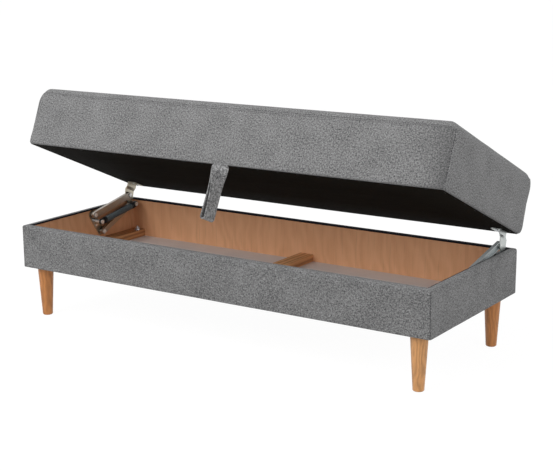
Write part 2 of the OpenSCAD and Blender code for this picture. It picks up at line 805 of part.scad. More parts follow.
module lid_lining() {
    color("black") open_lid() difference() {
        block([-lid_w / 2 + lining_inset, -lid_d + lining_inset, 0],
              [lid_w / 2 - lining_inset, -lining_inset, lining_t]);
        for (side = [-1, 1]) on_side(side) bracket_screw_cuts(screw_d, bolt_gap);
    }
}

// Pull loop, drawn about its sewn end: a band that turns as it hangs

function ease(t) = t <= 0 ? 0 : t >= 1 ? 1 : t * t * (3 - 2 * t);
function loop_turn(h) =
    loop_twist * ease((h / loop_l - twist_start_share) / (twist_end_share - twist_start_share));
function loop_gap(h) = loop_top_r + (loop_half_gap - loop_top_r) * ease(h / (loop_l - loop_half_gap));
function loop_way(h) = loop_side_share * loop_w / 2 * sin(loop_turn(h));
function loop_forward(h) =
    loop_w / 2 * sin(loop_turn(h)) + (loop_gap(h) + loop_t / 2) * abs(cos(loop_turn(h)))
    - loop_top_r - loop_t / 2 + max(h, 0) * tan(loop_lean);
loop_leg = loop_l - loop_half_gap;

// Its side view as [across, down], which runs down the rear band and up the front one
loop_path = concat(
    [for (i = [0 : loop_leg_steps - 1]) let (h = loop_leg * i / loop_leg_steps) [-loop_gap(h), h]],
    [for (i = [0 : loop_fold_steps]) let (a = 180 * i / loop_fold_steps)
        [-loop_half_gap * cos(a), loop_leg + loop_half_gap * sin(a)]],
    [for (i = [loop_leg_steps - 1 : -1 : 0]) let (h = loop_leg * i / loop_leg_steps) [loop_gap(h), h]],
    [for (i = [1 : loop_top_steps - 1]) let (a = 180 * i / loop_top_steps)
        [loop_top_r * cos(a), -loop_top_r * sin(a)]]);

function loop_ring(i) =
    let (n = len(loop_path), p = loop_path[i],
         run = unit(loop_path[(i + 1) % n] - loop_path[(i + n - 1) % n]),
         face = [-run[1], run[0]],
         h = p[1], turn = loop_turn(h),
         across = [sin(turn), -cos(turn), 0],
         along = [cos(turn), sin(turn), 0],
         middle = [loop_way(h), -loop_forward(h), 0])
    [for (corner = [[-1, -1], [1, -1], [1, 1], [-1, 1]])
        let (side = p + corner[1] * loop_t / 2 * face)
        middle + corner[0] * loop_w / 2 * along + side[0] * across - [0, 0, side[1]]];

// The two wide sides of the twisted band share their diagonals, so that its thickness holds
module pull_loop() {
    n = len(loop_path);
    rings = [for (i = [0 : n - 1]) loop_ring(i)];
    faces = [for (i = [0 : n - 1], j = [0 : 3], half = [0, 1])
        let (a = i * 4 + j, b = i * 4 + (j + 1) % 4,
             c = (i + 1) % n * 4 + j, d = (i + 1) % n * 4 + (j + 1) % 4)
        j < 2 ? (half == 0 ? [a, d, c] : [a, b, d]) : (half == 0 ? [a, b, c] : [b, d, c])];
    color("gray") open_lid()
        translate([loop_x, -lid_d + loop_inset, -loop_pivot_drop])
            polyhedron([for (ring = rings) each ring], faces);
}

long_panel(-1);  // front_panel
long_panel(1);  // rear_panel
end_panel(-1);  // left_end_panel
end_panel(1);  // right_end_panel
bottom_board();
end_rail(-1);  // left_rail
middle_rail();
end_rail(1);  // right_rail
chest_cover();
rim_tape();
wall_screws();
leg(leg_places[0]);  // front_left_leg
leg(leg_places[1]);  // front_right_leg
leg(leg_places[2]);  // rear_left_leg
leg(leg_places[3]);  // rear_right_leg
leg_bolts();
leg_washers();
leg_nuts();
base_plate(-1);  // left_base_plate
base_plate(1);  // right_base_plate
plate_screws(-1);  // left_plate_screws
plate_screws(1);  // right_plate_screws
base_pivots(-1);  // left_base_pivots
base_pivots(1);  // right_base_pivots
upper_link(-1);  // left_upper_link
upper_link(1);  // right_upper_link
lower_link(-1);  // left_lower_link
lower_link(1);  // right_lower_link
lid_bracket(-1);  // left_lid_bracket
lid_bracket(1);  // right_lid_bracket
bracket_screws(-1);  // left_bracket_screws
bracket_screws(1);  // right_bracket_screws
bracket_pivots(-1);  // left_bracket_pivots
bracket_pivots(1);  // right_bracket_pivots
spring_front_holder(-1);  // left_spring_front_holder
spring_front_holder(1);  // right_spring_front_holder
spring_rear_holder(-1);  // left_spring_rear_holder
spring_rear_holder(1);  // right_spring_rear_holder
spring(-1);  // left_spring
spring(1);  // right_spring
lid_front_rail();
lid_rear_rail();
lid_end_rail(-1);  // lid_left_rail
lid_end_rail(1);  // lid_right_rail
lid_cross_rails();
lid_board();
lid_foam();
lid_cover();
lid_lining();
pull_loop();
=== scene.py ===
"""Storage bench of a corner sofa: fabric, cushion, springs and finishes round its packed model."""
import math

import bpy
import numpy as np
from mathutils import Matrix, Vector


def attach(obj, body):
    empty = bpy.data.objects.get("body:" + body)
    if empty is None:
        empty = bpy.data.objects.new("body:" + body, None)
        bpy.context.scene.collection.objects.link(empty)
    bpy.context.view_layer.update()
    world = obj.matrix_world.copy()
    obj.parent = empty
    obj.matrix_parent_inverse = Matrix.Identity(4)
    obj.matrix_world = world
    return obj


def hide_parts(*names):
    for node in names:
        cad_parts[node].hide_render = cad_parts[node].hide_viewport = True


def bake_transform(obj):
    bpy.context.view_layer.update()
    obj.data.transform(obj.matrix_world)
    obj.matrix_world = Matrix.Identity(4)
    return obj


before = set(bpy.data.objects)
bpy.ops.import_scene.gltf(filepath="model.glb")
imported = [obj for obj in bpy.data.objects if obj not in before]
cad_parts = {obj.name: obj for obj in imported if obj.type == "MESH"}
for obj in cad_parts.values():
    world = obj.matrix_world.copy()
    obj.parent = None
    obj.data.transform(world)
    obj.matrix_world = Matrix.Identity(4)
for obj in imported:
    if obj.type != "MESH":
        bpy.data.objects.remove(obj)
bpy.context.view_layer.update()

bl_info = {
    "name": "Storage bench of a corner sofa",
    "version": (1, 0, 0),
    "blender": (4, 5, 0),
    "location": "3D View > Sidebar > Bench",
    "description": "Dresses an upholstered storage bench with a spring-assisted lid",
    "category": "Object",
}

MM = 0.001

# Sizes that the packed model also has, in millimetres
CHEST_W, CHEST_D, CHEST_LOW, RIM = 1368, 518, 150, 277
CHEST_R, COVER_T, COVER_FOLD = 8, 2, 14
END_CLOTH, REAR_CLOTH, WALL, FLAP_DROP, TAPE_T = 16, 6, 20, 4, 2
LID_W, LID_D, LID_H = 1382, 528, 181
LID_CROWN, LID_TOP_R, LID_LOW_R = 8, 24, 8
LINING_T, LINING_BACK = 1, 10
LID_TILT, LID_Y, LID_Z = math.radians(23.42), 272.8, 309.5
SPRING_FRONT, SPRING_REAR, SPRING_X = (46, 237), (214.3279, 265.0814), 635.6
SPRING_D, COIL_START, BEND_R = 20, 18, 2.6

# Sizes that follow the photograph more closely than the packed model does, in millimetres
# More cloth on the right rim leaves only a sliver of black tape there, where the rim is lit; the tape also
# stands for painted shade
RIGHT_CLOTH = 19
LOOP_X, LOOP_L, LOOP_W, LOOP_T, LOOP_HALF_GAP = 23.4, 157, 46, 3, 6.5
LOOP_TURN, LOOP_LEAN, LOOP_BACK, SEAT_GAP = math.radians(89), math.radians(4), 2, 0.3
LOOP_TURNS_OVER, LOOP_SIDE = 27, 0.72

# Staples and the flaps' bend, in millimetres
STAPLE_L, STAPLE_WIRE, STAPLE_RISE = 10, 0.9, 0.35
FLAP_R, FLAP_STEPS = 1.4, 5

# The photograph's camera: place in metres, turns in degrees, focal length and picture's width in pixels, and
# sensor in millimetres
CAMERA_PLACE, CAMERA_YAW, CAMERA_PITCH, CAMERA_ROLL = (2.0639, -2.9980, 1.1266), -33.75, 13.11, -0.39
FOCAL, PHOTO_W, SENSOR = 1304.17, 553, 36
WHITE = (1, 1, 1, 1)
CORNERS = ((1, 1), (-1, 1), (-1, -1), (1, -1))


def ink(red, green, blue):
    """Linear colour of a screen colour from 0 to 255."""
    screen = np.array([red, green, blue]) / 255
    linear = np.where(screen <= 0.04045, screen / 12.92, ((screen + 0.055) / 1.055) ** 2.4)
    return (*linear.tolist(), 1.0)


# Sizes and colours that a user would change


def length(name, description, default, low=0.0, high=1.0):
    return bpy.props.FloatProperty(
        name=name, description=description, default=default, min=low, max=high,
        precision=4, unit="LENGTH", subtype="DISTANCE")


def colour(name, description, default):
    return bpy.props.FloatVectorProperty(
        name=name, description=description, default=default[:3], size=3, min=0, max=1, subtype="COLOR")


class BenchCloth(bpy.types.PropertyGroup):
    light: colour("Light yarn", "Colour of the fabric's light yarns", ink(160, 160, 160))
    dark: colour("Dark yarn", "Colour of the fabric's dark yarns", ink(61, 61, 62))
    pitch: length("Thread pitch", "Distance between neighbouring threads", 0.0019, 0.0005, 0.01)
    thread: colour("Sewing thread", "Colour of the seams' thread", ink(72, 72, 75))
    stitch: length("Stitch pitch", "Distance from one stitch to the next", 0.0065, 0.002, 0.02)


class BenchLid(bpy.types.PropertyGroup):
    seam_drop: length("Seam drop", "Distance of the front seam below the lid's top edge", 0.022, 0.01, 0.05)
    seam_depth: length("Seam depth", "Depth of the seams' grooves", 0.0018, 0.0, 0.005)
    corner: length("Corner", "Radius of the cushion's upright corners", 0.012, 0.008, 0.03)
    top_corner: length("Top corner", "Radius of the upper corners, seen from above", 0.022, 0.018, 0.08)
    end_round: length("End rounding", "Radius along the upper edges of the ends", 0.034, 0.02, 0.06)
    rear_round: length("Rear rounding", "Radius along the cushion's lower rear edge", 0.018, 0.008, 0.03)
    start_inset: length("Slack", "How far the cushion starts inside its full size", 0.001, 0.0, 0.01)
    swell: length("Swelling", "Furthest that the cloth swells", 0.0045, 0.0, 0.02)
    sag: length("Lining sag", "How far the lining hangs in its middle", 0.003, 0.0, 0.02)


class BenchHinge(bpy.types.PropertyGroup):
    wire: length("Spring wire", "Thickness of the spring wire", 0.0029, 0.001, 0.004)
    turns: bpy.props.IntProperty(name="Curls", description="Curls in a spring", default=41, min=10, max=60)
    steel: colour("Steel", "Colour of the hinges' bright steel", ink(188, 193, 191))
    spring: colour("Spring steel", "Colour of the springs", ink(86, 94, 97))


class BenchWood(bpy.types.PropertyGroup):
    plywood: colour("Plywood", "Colour of the plywood's face", ink(244, 189, 144))
    grain: colour("Plywood grain", "Colour of the plywood's darker grain", ink(216, 157, 114))
    # The other legs' oak is a darker, browner copy of the front right leg's: painted shade
    oak: colour("Oak", "Colour of the front right leg", ink(222, 162, 104))
    oak_in_shade: colour("Browner oak", "Colour of the other legs", ink(206, 136, 76))
    board: colour("Bottom board", "Colour of the board in the chest's bottom", ink(232, 226, 225))


class BenchStudio(bpy.types.PropertyGroup):
    ambient: bpy.props.FloatProperty(
        name="Ambient light", description="Strength of the surrounding light", default=0.65, min=0, max=3)
    key: bpy.props.FloatProperty(
        name="Key lamp", description="Power of the lamp at the front", default=150, min=0, max=3000)
    fill: bpy.props.FloatProperty(
        name="Fill lamp", description="Power of the lamp on the right", default=50, min=0, max=3000)


# Surfaces


class Shell:
    """Points and faces of one piece, with a pair of UV values for each corner of each face."""

    def __init__(self):
        self.points, self.faces, self.uvs, self.count = [], [], [], 0

    def place(self, points):
        """Keeps an array of points, whatever its shape, and gives their numbers in that shape."""
        points = np.asarray(points, float)
        numbers = self.count + np.arange(points[..., 0].size).reshape(points.shape[:-1])
        self.points.append(points.reshape(-1, 3))
        self.count += numbers.size
        return numbers

    def skin(self, numbers, uv):
        """Adds a four-sided face between each point, the next in its row and their neighbours in the next
        row."""
        def corners(grid):
            here, below = grid[..., :-1, :], grid[..., 1:, :]
            return np.stack([here[..., :-1], here[..., 1:], below[..., 1:], below[..., :-1]], -1)
        self.faces += corners(numbers).reshape(-1, 4).tolist()
        each = np.stack([corners(np.broadcast_to(uv[..., k], numbers.shape)) for k in (0, 1)], -1)
        self.uvs.append(each.reshape(-1, 2))

    def cap(self, loops, uv):
        """Closes the last axis of an array of numbers with one face for each row."""
        loops, uv = np.atleast_2d(loops), np.asarray(uv, float)
        self.faces += loops.tolist()
        self.uvs.append(np.broadcast_to(uv, (*loops.shape, 2)).reshape(-1, 2))

    def bar(self, points, section, reach):
        """Carries a closed section along an open line of a given reach, with flat ends: each row of points is
        the section at one place."""
        numbers = self.place(points)
        self.skin(wrapped(numbers), pairs(along(wrapped(section, 0)), reach))
        self.cap(numbers[0][::-1], section[::-1])
        self.cap(numbers[-1], section)

    def build(self, name, finish, slot):
        """Makes the mesh in metres, with its faces turned outwards by the sign of its volume."""
        points = np.concatenate(self.points)
        fans = np.array([(f[0], f[k], f[k + 1]) for f in self.faces for k in range(1, len(f) - 1)])
        a, b, c = (points[fans[:, k]] for k in range(3))
        if np.einsum("ij,ij->", a, np.cross(b, c)) < 0:
            cuts = np.cumsum([len(f) for f in self.faces])[:-1]
            self.uvs = [uv[::-1] for uv in np.split(np.concatenate(self.uvs), cuts)]
            self.faces = [f[::-1] for f in self.faces]
        mesh = bpy.data.meshes.new(name)
        mesh.from_pydata((points * MM).tolist(), [], self.faces)
        layer = mesh.uv_layers.new(name="UVMap")
        layer.data.foreach_set("uv", (np.concatenate(self.uvs) * MM).ravel())
        mesh.shade_smooth()
        mesh.materials.append(finish)
        piece = bpy.data.objects.new(name, mesh)
        bpy.context.scene.collection.objects.link(piece)
        return piece


def wrapped(grid, axis=-1):
    """Repeats the first entry of an axis after its last, so that a surface closes."""
    return np.concatenate([grid, np.take(grid, [0], axis)], axis)


def along(points):
    """Distance along a line of points, from its first."""
    steps = np.linalg.norm(np.diff(points, axis=0), axis=1)
    return np.concatenate([[0], np.cumsum(steps)])


def read_along(values, line, at):
    """Values given at the points of a line, read in straight shares at distances along it."""
    reach = along(line)
    return np.stack([np.interp(at, reach, values[:, k]) for k in range(3)], -1)


def pairs(u, v):
    """Grid of UV pairs: v changes from row to row and u along a row."""
    return np.stack(np.broadcast_arrays(np.asarray(u)[None, :], np.asarray(v)[:, None]), -1).astype(float)


def unit(v):
    """Directions: v divided by its length."""
    return v / np.linalg.norm(v, axis=-1, keepdims=True)


def squared(outs, ways):
    """Directions outwards less their part along the line, outs - ways * (outs . ways), made of length 1."""
    return unit(outs - ways * np.sum(outs * ways, -1, keepdims=True))


def rectangle(half_x, half_y, middle, height):
    """Corners of a rectangle at a height, anticlockwise from +x +y, whose middle is moved along Y."""
    return np.array([[x * half_x, y * half_y + middle, height] for x, y in CORNERS], float)


def ripple(points, waves, seed):
    """Sum of cosine waves in random directions, one for each wavelength, over the root of their number."""
    draw = np.random.default_rng(seed)
    total = 0
    for wave in waves:
        way = unit(draw.normal(size=3)) * 2 * np.pi / wave
        total = total + np.cos(points @ way + draw.uniform(0, 2 * np.pi))
    return total / math.sqrt(len(waves))


def ease(t):
    """Smooth step: 3 t squared less 2 t cubed, held at 0 and 1 outside its range."""
    t = np.clip(t, 0, 1)
    return t * t * (3 - 2 * t)


def outline(half_x, half_y, radius, arc, runs):
    """Rounded rectangles, one for each row of sizes, anticlockwise from the middle of the corner at +x +y.
    Each side is half an arc, a straight run and half an arc. Gives the points, the directions outwards and
    each point's place along its straight run, 1 to -1."""
    half_x, half_y, radius = (np.asarray(v, float).reshape(-1, 1) for v in (half_x, half_y, radius))
    places, outs, runs_at = [], [], []
    for k in range(4):
        half, out = ((half_x, half_y), (half_y, half_x))[k % 2]
        turn = np.concatenate([np.linspace(np.pi / 4, 0, arc + 1)[:-1], np.zeros(runs[k % 2] + 1),
                               np.linspace(0, -np.pi / 4, arc + 1)[1:-1]])[None, :]
        run = np.concatenate([np.ones(arc), np.linspace(1, -1, runs[k % 2] + 1), -np.ones(arc - 1)])[None, :]
        x, y = (half - radius) * run + radius * np.sin(turn), out - radius + radius * np.cos(turn)
        nx, ny = np.sin(turn) + 0 * x, np.cos(turn) + 0 * x
        for _ in range(k):
            x, y, nx, ny = -y, x, -ny, nx
        places.append(np.stack([x, y], -1))
        outs.append(np.stack([nx, ny], -1))
        runs_at.append(run + 0 * x)
    return (np.concatenate(v, 1) for v in (places, outs, runs_at))


def threads(shell, places, ways, outs, size, thick, rise):
    """Short bowed threads. With t from -1 to 1 along one, its middle is place + way * size / 2 * t
    + out * rise * (1 - t * t), and its radius is thick / 2 * sqrt(1 - t * t * 3 / 5)."""
    t = np.linspace(-1, 1, 5)
    sides = np.cross(ways, outs)
    line = (places[:, None] + ways[:, None] * (t * size / 2)[None, :, None]
            + outs[:, None] * (rise * (1 - t * t))[None, :, None])
    turn = np.arange(4) * np.pi / 2
    ring = np.cos(turn)[None, :, None] * outs[:, None] + np.sin(turn)[None, :, None] * sides[:, None]
    taper = thick / 2 * np.sqrt(1 - 0.6 * t * t)
    numbers = shell.place(line[:, :, None] + ring[:, None] * taper[None, :, None, None])
    shell.skin(wrapped(numbers), pairs(np.arange(5.0), t * size / 2)[None])
    shell.cap(numbers[:, 0, ::-1], np.zeros((4, 2)))
    shell.cap(numbers[:, -1], np.zeros((4, 2)))


def spaced(points, pitch, closed=True):
    """Points at equal distances along a line, the directions along it there, and the distances."""
    line = wrapped(points, 0) if closed else points
    reach = along(line)[-1]
    count = int(reach / pitch)
    at = (np.arange(count) + 0.5) * reach / count
    ahead = read_along(line, line, np.minimum(at + 1, reach))
    behind = read_along(line, line, np.maximum(at - 1, 0))
    return read_along(line, line, at), unit(ahead - behind), at


def staple_row(name, finish, body, corners, pitch, down, proud):
    """Staples at equal distances round a closed line: bowed threads that stand proud of it in the direction
    down."""
    shell = Shell()
    places, ways, _ = spaced(corners, pitch)
    downs = np.broadcast_to(down, places.shape)
    threads(shell, places + downs * proud, ways, downs, STAPLE_L, STAPLE_WIRE, STAPLE_RISE)
    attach(shell.build(name, finish, "zinc"), body)


def on_lid(points):
    """Brings points from the lid's own frame, whose origin is its lower rear edge, to the open lid: they are
    turned by the tilt about X and moved."""
    x, y, z = np.moveaxis(np.asarray(points, float), -1, 0)
    c, s = math.cos(LID_TILT), math.sin(LID_TILT)
    return np.stack([x, LID_Y + y * c + z * s, LID_Z - y * s + z * c], -1)


def swell(piece, held, force, cap):
    """Blows a closed cloth up for a few frames, then moves each point by its own shift, shortened to
    cap * tanh(shift / cap)."""
    scene, frames = bpy.context.scene, 20
    group = piece.vertex_groups.new(name="held")
    for weight in np.unique(held[held > 0]):
        group.add(np.flatnonzero(held == weight).tolist(), float(weight), "REPLACE")
    cloth = piece.modifiers.new("Swell", "CLOTH")
    how = cloth.settings
    how.quality, how.mass, how.air_damping = 6, 0.3, 2
    how.tension_stiffness = how.compression_stiffness = 30
    how.shear_stiffness, how.bending_stiffness = 15, 8
    how.use_pressure, how.uniform_pressure_force = True, force
    how.effector_weights.gravity = 0
    how.vertex_group_mass = "held"
    cloth.collision_settings.use_collision = False
    cloth.point_cache.frame_end = frames
    for step in range(1, frames + 1):
        scene.frame_set(step)
    solved = piece.evaluated_get(bpy.context.evaluated_depsgraph_get()).to_mesh()
    before, after = np.zeros(len(held) * 3), np.zeros(len(held) * 3)
    piece.data.vertices.foreach_get("co", before)
    solved.vertices.foreach_get("co", after)
    shift = (after - before).reshape(-1, 3)
    size = np.linalg.norm(shift, axis=1, keepdims=True)
    if not np.isfinite(size).all():
        raise RuntimeError("the cloth of the lid did not settle")
    shift *= cap * np.tanh(size / cap) / np.maximum(size, 1e-9)
    piece.modifiers.remove(cloth)
    piece.vertex_groups.clear()
    scene.frame_set(1)
    piece.data.vertices.foreach_set("co", (before.reshape(-1, 3) + shift).ravel())
    piece.data.update()


# Finishes


class Wire:
    """A node's output, on which Python's operators add Math nodes."""

    def __init__(self, finish, socket):
        self.finish, self.socket = finish, socket

    def maths(self, operation, *others):
        return self.finish.node("ShaderNodeMath", {"operation": operation}, dict(enumerate([self, *others])))

    def __add__(self, other):
        return self.maths("ADD", other)

    def __sub__(self, other):
        return self.maths("SUBTRACT", other)

    def __rsub__(self, other):
        return self.finish.number(other).maths("SUBTRACT", self)

    def __mul__(self, other):
        return self.maths("MULTIPLY", other)

    def __truediv__(self, other):
        return self.maths("DIVIDE", other)

    __radd__, __rmul__ = __add__, __mul__

    def sin(self):
        return self.maths("SINE")

    def size(self):
        return self.maths("ABSOLUTE")

    def floor(self):
        return self.maths("FLOOR")

    def part(self):
        return self.maths("FRACT")

    def spread(self, low, high, to_low=0.0, to_high=1.0):
        """Maps low to high on to_low to to_high, in a straight line held at both ends."""
        return self.finish.node("ShaderNodeMapRange", {"clamp": True}, {
            "Value": self, "From Min": low, "From Max": high, "To Min": to_low, "To Max": to_high})


class Finish:
    """A material or a world: its nodes come from node(), and its values from operators on what that gives."""

    def __init__(self, name, kind="materials"):
        self.owner = getattr(bpy.data, kind).new(name)
        self.owner.use_nodes = True
        self.tree = self.owner.node_tree
        self.tree.nodes.clear()

    def node(self, kind, settings=None, values=None, out=0):
        """Adds a node of a kind, with its settings, then its sockets' values or links, and gives one
        output."""
        made = self.tree.nodes.new(kind)
        for key, value in (settings or {}).items():
            setattr(made, key, value)
        for key, value in (values or {}).items():
            if isinstance(value, Wire):
                self.tree.links.new(value.socket, made.inputs[key])
            else:
                made.inputs[key].default_value = value
        return Wire(self, made.outputs[out] if len(made.outputs) else None)

    def number(self, value):
        return self.node("ShaderNodeMath", {"operation": "ADD"}, {0: value, 1: 0.0})

    def place(self, source="Object", scale=(1, 1, 1), move=(0, 0, 0)):
        """Object coordinates or the UV map, in metres, moved and scaled by a Mapping node."""
        start = self.node("ShaderNodeTexCoord", out=source)
        return self.node("ShaderNodeMapping", {"vector_type": "POINT"},
                         {"Vector": start, "Location": move, "Scale": scale})

    def axes(self, place):
        """The three numbers of a place."""
        split = self.node("ShaderNodeSeparateXYZ", None, {"Vector": place})
        outs = split.socket.node.outputs
        return [Wire(self, outs[k]) for k in range(3)]

    def noise(self, place, scale, detail=2.0, rough=0.5):
        return self.node("ShaderNodeTexNoise", {"noise_dimensions": "3D"}, {
            "Vector": place, "Scale": scale, "Detail": detail, "Roughness": rough})

    def mix(self, factor, first, second):
        """Mixes two colours."""
        return self.node("ShaderNodeMix", {"data_type": "RGBA", "blend_type": "MIX", "clamp_factor": True},
                         {0: factor, 6: first, 7: second}, out=2)

    def bump(self, height, depth, strength=1.0):
        """Height from 0 to 1 as relief of a depth in metres."""
        return self.node("ShaderNodeBump", None, {"Height": height, "Distance": depth, "Strength": strength})

    def seen(self):
        """1 on rays from the camera, from mirrors and through glass, and 0 on the light itself."""
        outs = self.node("ShaderNodeLightPath").socket.node.outputs
        rays = ("Camera", "Glossy", "Transmission")
        eye, mirror, glass = (Wire(self, outs[f"Is {ray} Ray"]) for ray in rays)
        return eye.maths("MAXIMUM", mirror.maths("MAXIMUM", glass))

    def end(self, shader, kind="ShaderNodeOutputMaterial"):
        """Ends the nodes in a shader, and gives the material or the world."""
        self.node(kind, None, {"Surface": shader})
        return self.owner

    def close(self, base, roughness, normal, **plain):
        """Ends the material in a Principled shader. What is named in plain is set on its sockets."""
        named = {key.replace("_", " "): value for key, value in plain.items()}
        return self.end(self.node("ShaderNodeBsdfPrincipled", None, {
            "Base Color": base, "Roughness": roughness, **named, "Normal": normal}))


def shade(value, factor=1.0):
    """A property's colour, scaled, as four numbers."""
    return (*(min(c * factor, 1) for c in value[:3]), 1.0)


def woven(name, cloth, light, dark, move, coarse=1.0, corner_shade=0.0):
    """Melange weave: the relief of warp and weft changes places on a chequer, a fine fleck and short slubs of
    yarn colour lie over it, and soft blotches over all. The nap is flattened, and so darker, where U comes up
    to 0."""
    corner_shade_from, corner_shade_to = -0.12, -0.004
    m = Finish(name)
    metres = m.place("UV", move=move)
    u, v, _ = m.axes(metres)
    across, down = u / cloth.pitch, v / cloth.pitch
    chequer = ((across.floor() + down.floor()) * 0.5).part() * 2
    ridges = (across * math.pi).sin().size() * chequer + (down * math.pi).sin().size() * (1 - chequer)
    warp, weft = (m.noise(m.place("UV", (*scale, 1), move), 1, 1) for scale in ((420, 190), (190, 420)))
    slub = (warp + weft) * 0.5
    fleck, clump = m.noise(metres, 620 / coarse, 2, 0.6), m.noise(metres, 235 / coarse, 2, 0.6)
    blotch = m.noise(metres, 13, 2, 0.55)
    tone = (fleck - 0.5) * 2.0 + (slub - 0.5) * 1.8 + (clump - 0.5) * 1.9 + (blotch - 0.5) * 0.4 + 0.5
    base = m.mix(tone.spread(0.0, 1.0), dark, light)
    # Painted shade: the hollows between the yarns are darkened
    base = m.mix(ridges.spread(0.0, 0.5, 0.2, 0.0), base, shade(dark, 0.55))
    # Painted shade: the cloth darkens where U comes up to 0, just before the lid's front right corner
    near = u.spread(corner_shade_from, corner_shade_to)
    base = m.mix(near * near * u.spread(corner_shade_to, 0.0, 1.0, 0.0) * corner_shade, base, shade(dark, 0.7))
    relief = m.bump(ridges * 0.5 + clump * 0.35 + slub * 0.3, 0.0006, 0.9)
    return m.close(base, 0.92, relief, Specular_IOR_Level=0.2,
                   Sheen_Weight=0.2, Sheen_Roughness=0.55, Sheen_Tint=(0.86, 0.86, 0.87, 1))


def plain_weave(name, light, dark, pitch, relief, source="UV", rough=0.85):
    """Fine tape or lining: close ridges both ways, with a soft fleck."""
    m = Finish(name)
    metres = m.place(source)
    u, v, _ = m.axes(metres)
    ridges = (u / pitch * math.pi).sin().size() * 0.5 + (v / pitch * math.pi).sin().size() * 0.5
    fleck = m.noise(metres, 420, 2, 0.6) * 0.6 + m.noise(metres, 35, 2) * 0.4
    base = m.mix(fleck.spread(0.3, 0.7), dark, light)
    return m.close(base, rough, m.bump(ridges * 0.6 + fleck * 0.4, relief, 0.7), Specular_IOR_Level=0.06)


def timber(name, light, dark, along_axis, fine=900.0, figure=26.0, swing=0.035, pores=0.35, rough=0.55,
           coat=0.0, rings_part=0.2, slope=0.0, waves=(9.0, 1.6), dim=0.0):
    """Wood: fine fibres drawn out along the grain, and broad figure from a sine of the place across it, which
    is the sum of the other two axes, a slope along the grain and slow noise. A slope makes flames where it is
    cut. Dim wood is darker towards the chest's rim, away from the pale board."""
    rim_shade_from, rim_shade_to = 0.17, 0.275
    m = Finish(name)
    stretch, slow = np.full(3, fine), np.full(3, waves[0], float)
    stretch[along_axis], slow[along_axis] = fine / 42, waves[1]
    fibre = m.noise(m.place("Object", stretch), 1, 3, 0.6)
    streak = m.noise(m.place("Object", stretch / 7), 1, 2, 0.5)
    bend = m.noise(m.place("Object", slow), 1, 2, 0.5)
    axes = m.axes(m.place("Object"))
    over = [axes[k] for k in range(3) if k != along_axis]
    across = over[0] + over[1] + axes[along_axis] * slope + bend * swing * 6
    rings = (across * (figure * 2 * math.pi)).sin() * 0.5 + 0.5
    dots = m.noise(m.place("Object", stretch / 2.2, (3.1, 1.7, 0.4)), 1, 1).spread(0.62, 0.75)
    knot = m.node("ShaderNodeTexVoronoi", {"feature": "F1"}, {
        "Vector": m.place("Object", (6, 6, 6), (0.31, 0.12, 0.27)), "Scale": 1.0})
    knots = knot.spread(0.008, 0.02, 1.0, 0.0)
    tone = fibre * 0.38 + streak * 0.2 + rings * rings_part + bend * 0.28 + (0.34 - rings_part) * 0.5
    base = m.mix(tone.spread(0.32, 0.86), light, dark)
    base = m.mix(dots * pores, base, shade(dark, 0.6))
    base = m.mix(knots * 0.75, base, shade(dark, 0.35))
    # Painted shade: the wood darkens towards the chest's rim
    base = m.mix(axes[2].spread(rim_shade_from, rim_shade_to) * dim, base, shade(dark, 0.6))
    relief = fibre * 0.5 + streak * 0.3 - dots * 0.5
    return m.close(base, tone.spread(0.3, 0.8, rough - 0.08, rough + 0.1), m.bump(relief, 0.00035, 0.6),
                   Coat_Weight=coat, Coat_Roughness=0.35, Specular_IOR_Level=0.4)


def sheet_board(name, light, dark):
    """Painted hardboard: almost even, with fine pressed fibres."""
    m = Finish(name)
    place = m.place("Object")
    fibre = m.noise(m.place("Object", (700, 260, 500)), 1, 2, 0.6)
    cloud = m.noise(place, 7, 3, 0.55)
    base = m.mix((fibre * 0.45 + cloud * 0.55).spread(0.3, 0.7), light, dark)
    return m.close(base, cloud.spread(0.3, 0.7, 0.38, 0.55), m.bump(fibre, 0.0001, 0.5))


def metal(name, tint, rough, metallic=1.0, wear=0.25, brushed=(900, 90, 900)):
    """Rolled or plated steel: brushing along one axis, clouds of dulness and small dark scuffs."""
    m = Finish(name)
    place = m.place("Object")
    brush = m.noise(m.place("Object", brushed), 1, 3, 0.6)
    cloud = m.noise(place, 38, 3, 0.6)
    scuff = m.noise(place, 160, 2, 0.7).spread(0.6, 0.72)
    tone = brush * 0.55 + cloud * 0.45
    base = m.mix(tone.spread(0.3, 0.75, 0, wear), shade(tint), shade(tint, 0.55))
    base = m.mix(scuff * 0.3, base, shade(tint, 0.4))
    return m.close(base, tone.spread(0.3, 0.7, rough - 0.08, rough + 0.12), m.bump(brush, 0.00006, 0.4),
                   Metallic=metallic)


def foam_finish(name, tint):
    """Cut foam: small open cells."""
    m = Finish(name)
    place = m.place("Object")
    cells = m.node("ShaderNodeTexVoronoi", {"feature": "F1"}, {"Vector": place, "Scale": 700.0})
    base = m.mix(cells.spread(0.1, 0.6), shade(tint, 0.7), shade(tint))
    return m.close(base, 0.95, m.bump(cells, 0.0005))


def plastic(name, tint):
    """Moulded plastic or painted steel with a fine skin."""
    m = Finish(name)
    place = m.place("Object")
    skin = m.noise(place, 900, 2, 0.6)
    cloud = m.noise(place, 60, 2)
    base = m.mix(cloud.spread(0.35, 0.65), shade(tint), shade(tint, 0.75))
    return m.close(base, cloud.spread(0.3, 0.7, 0.38, 0.53), m.bump(skin, 0.00008, 0.5))


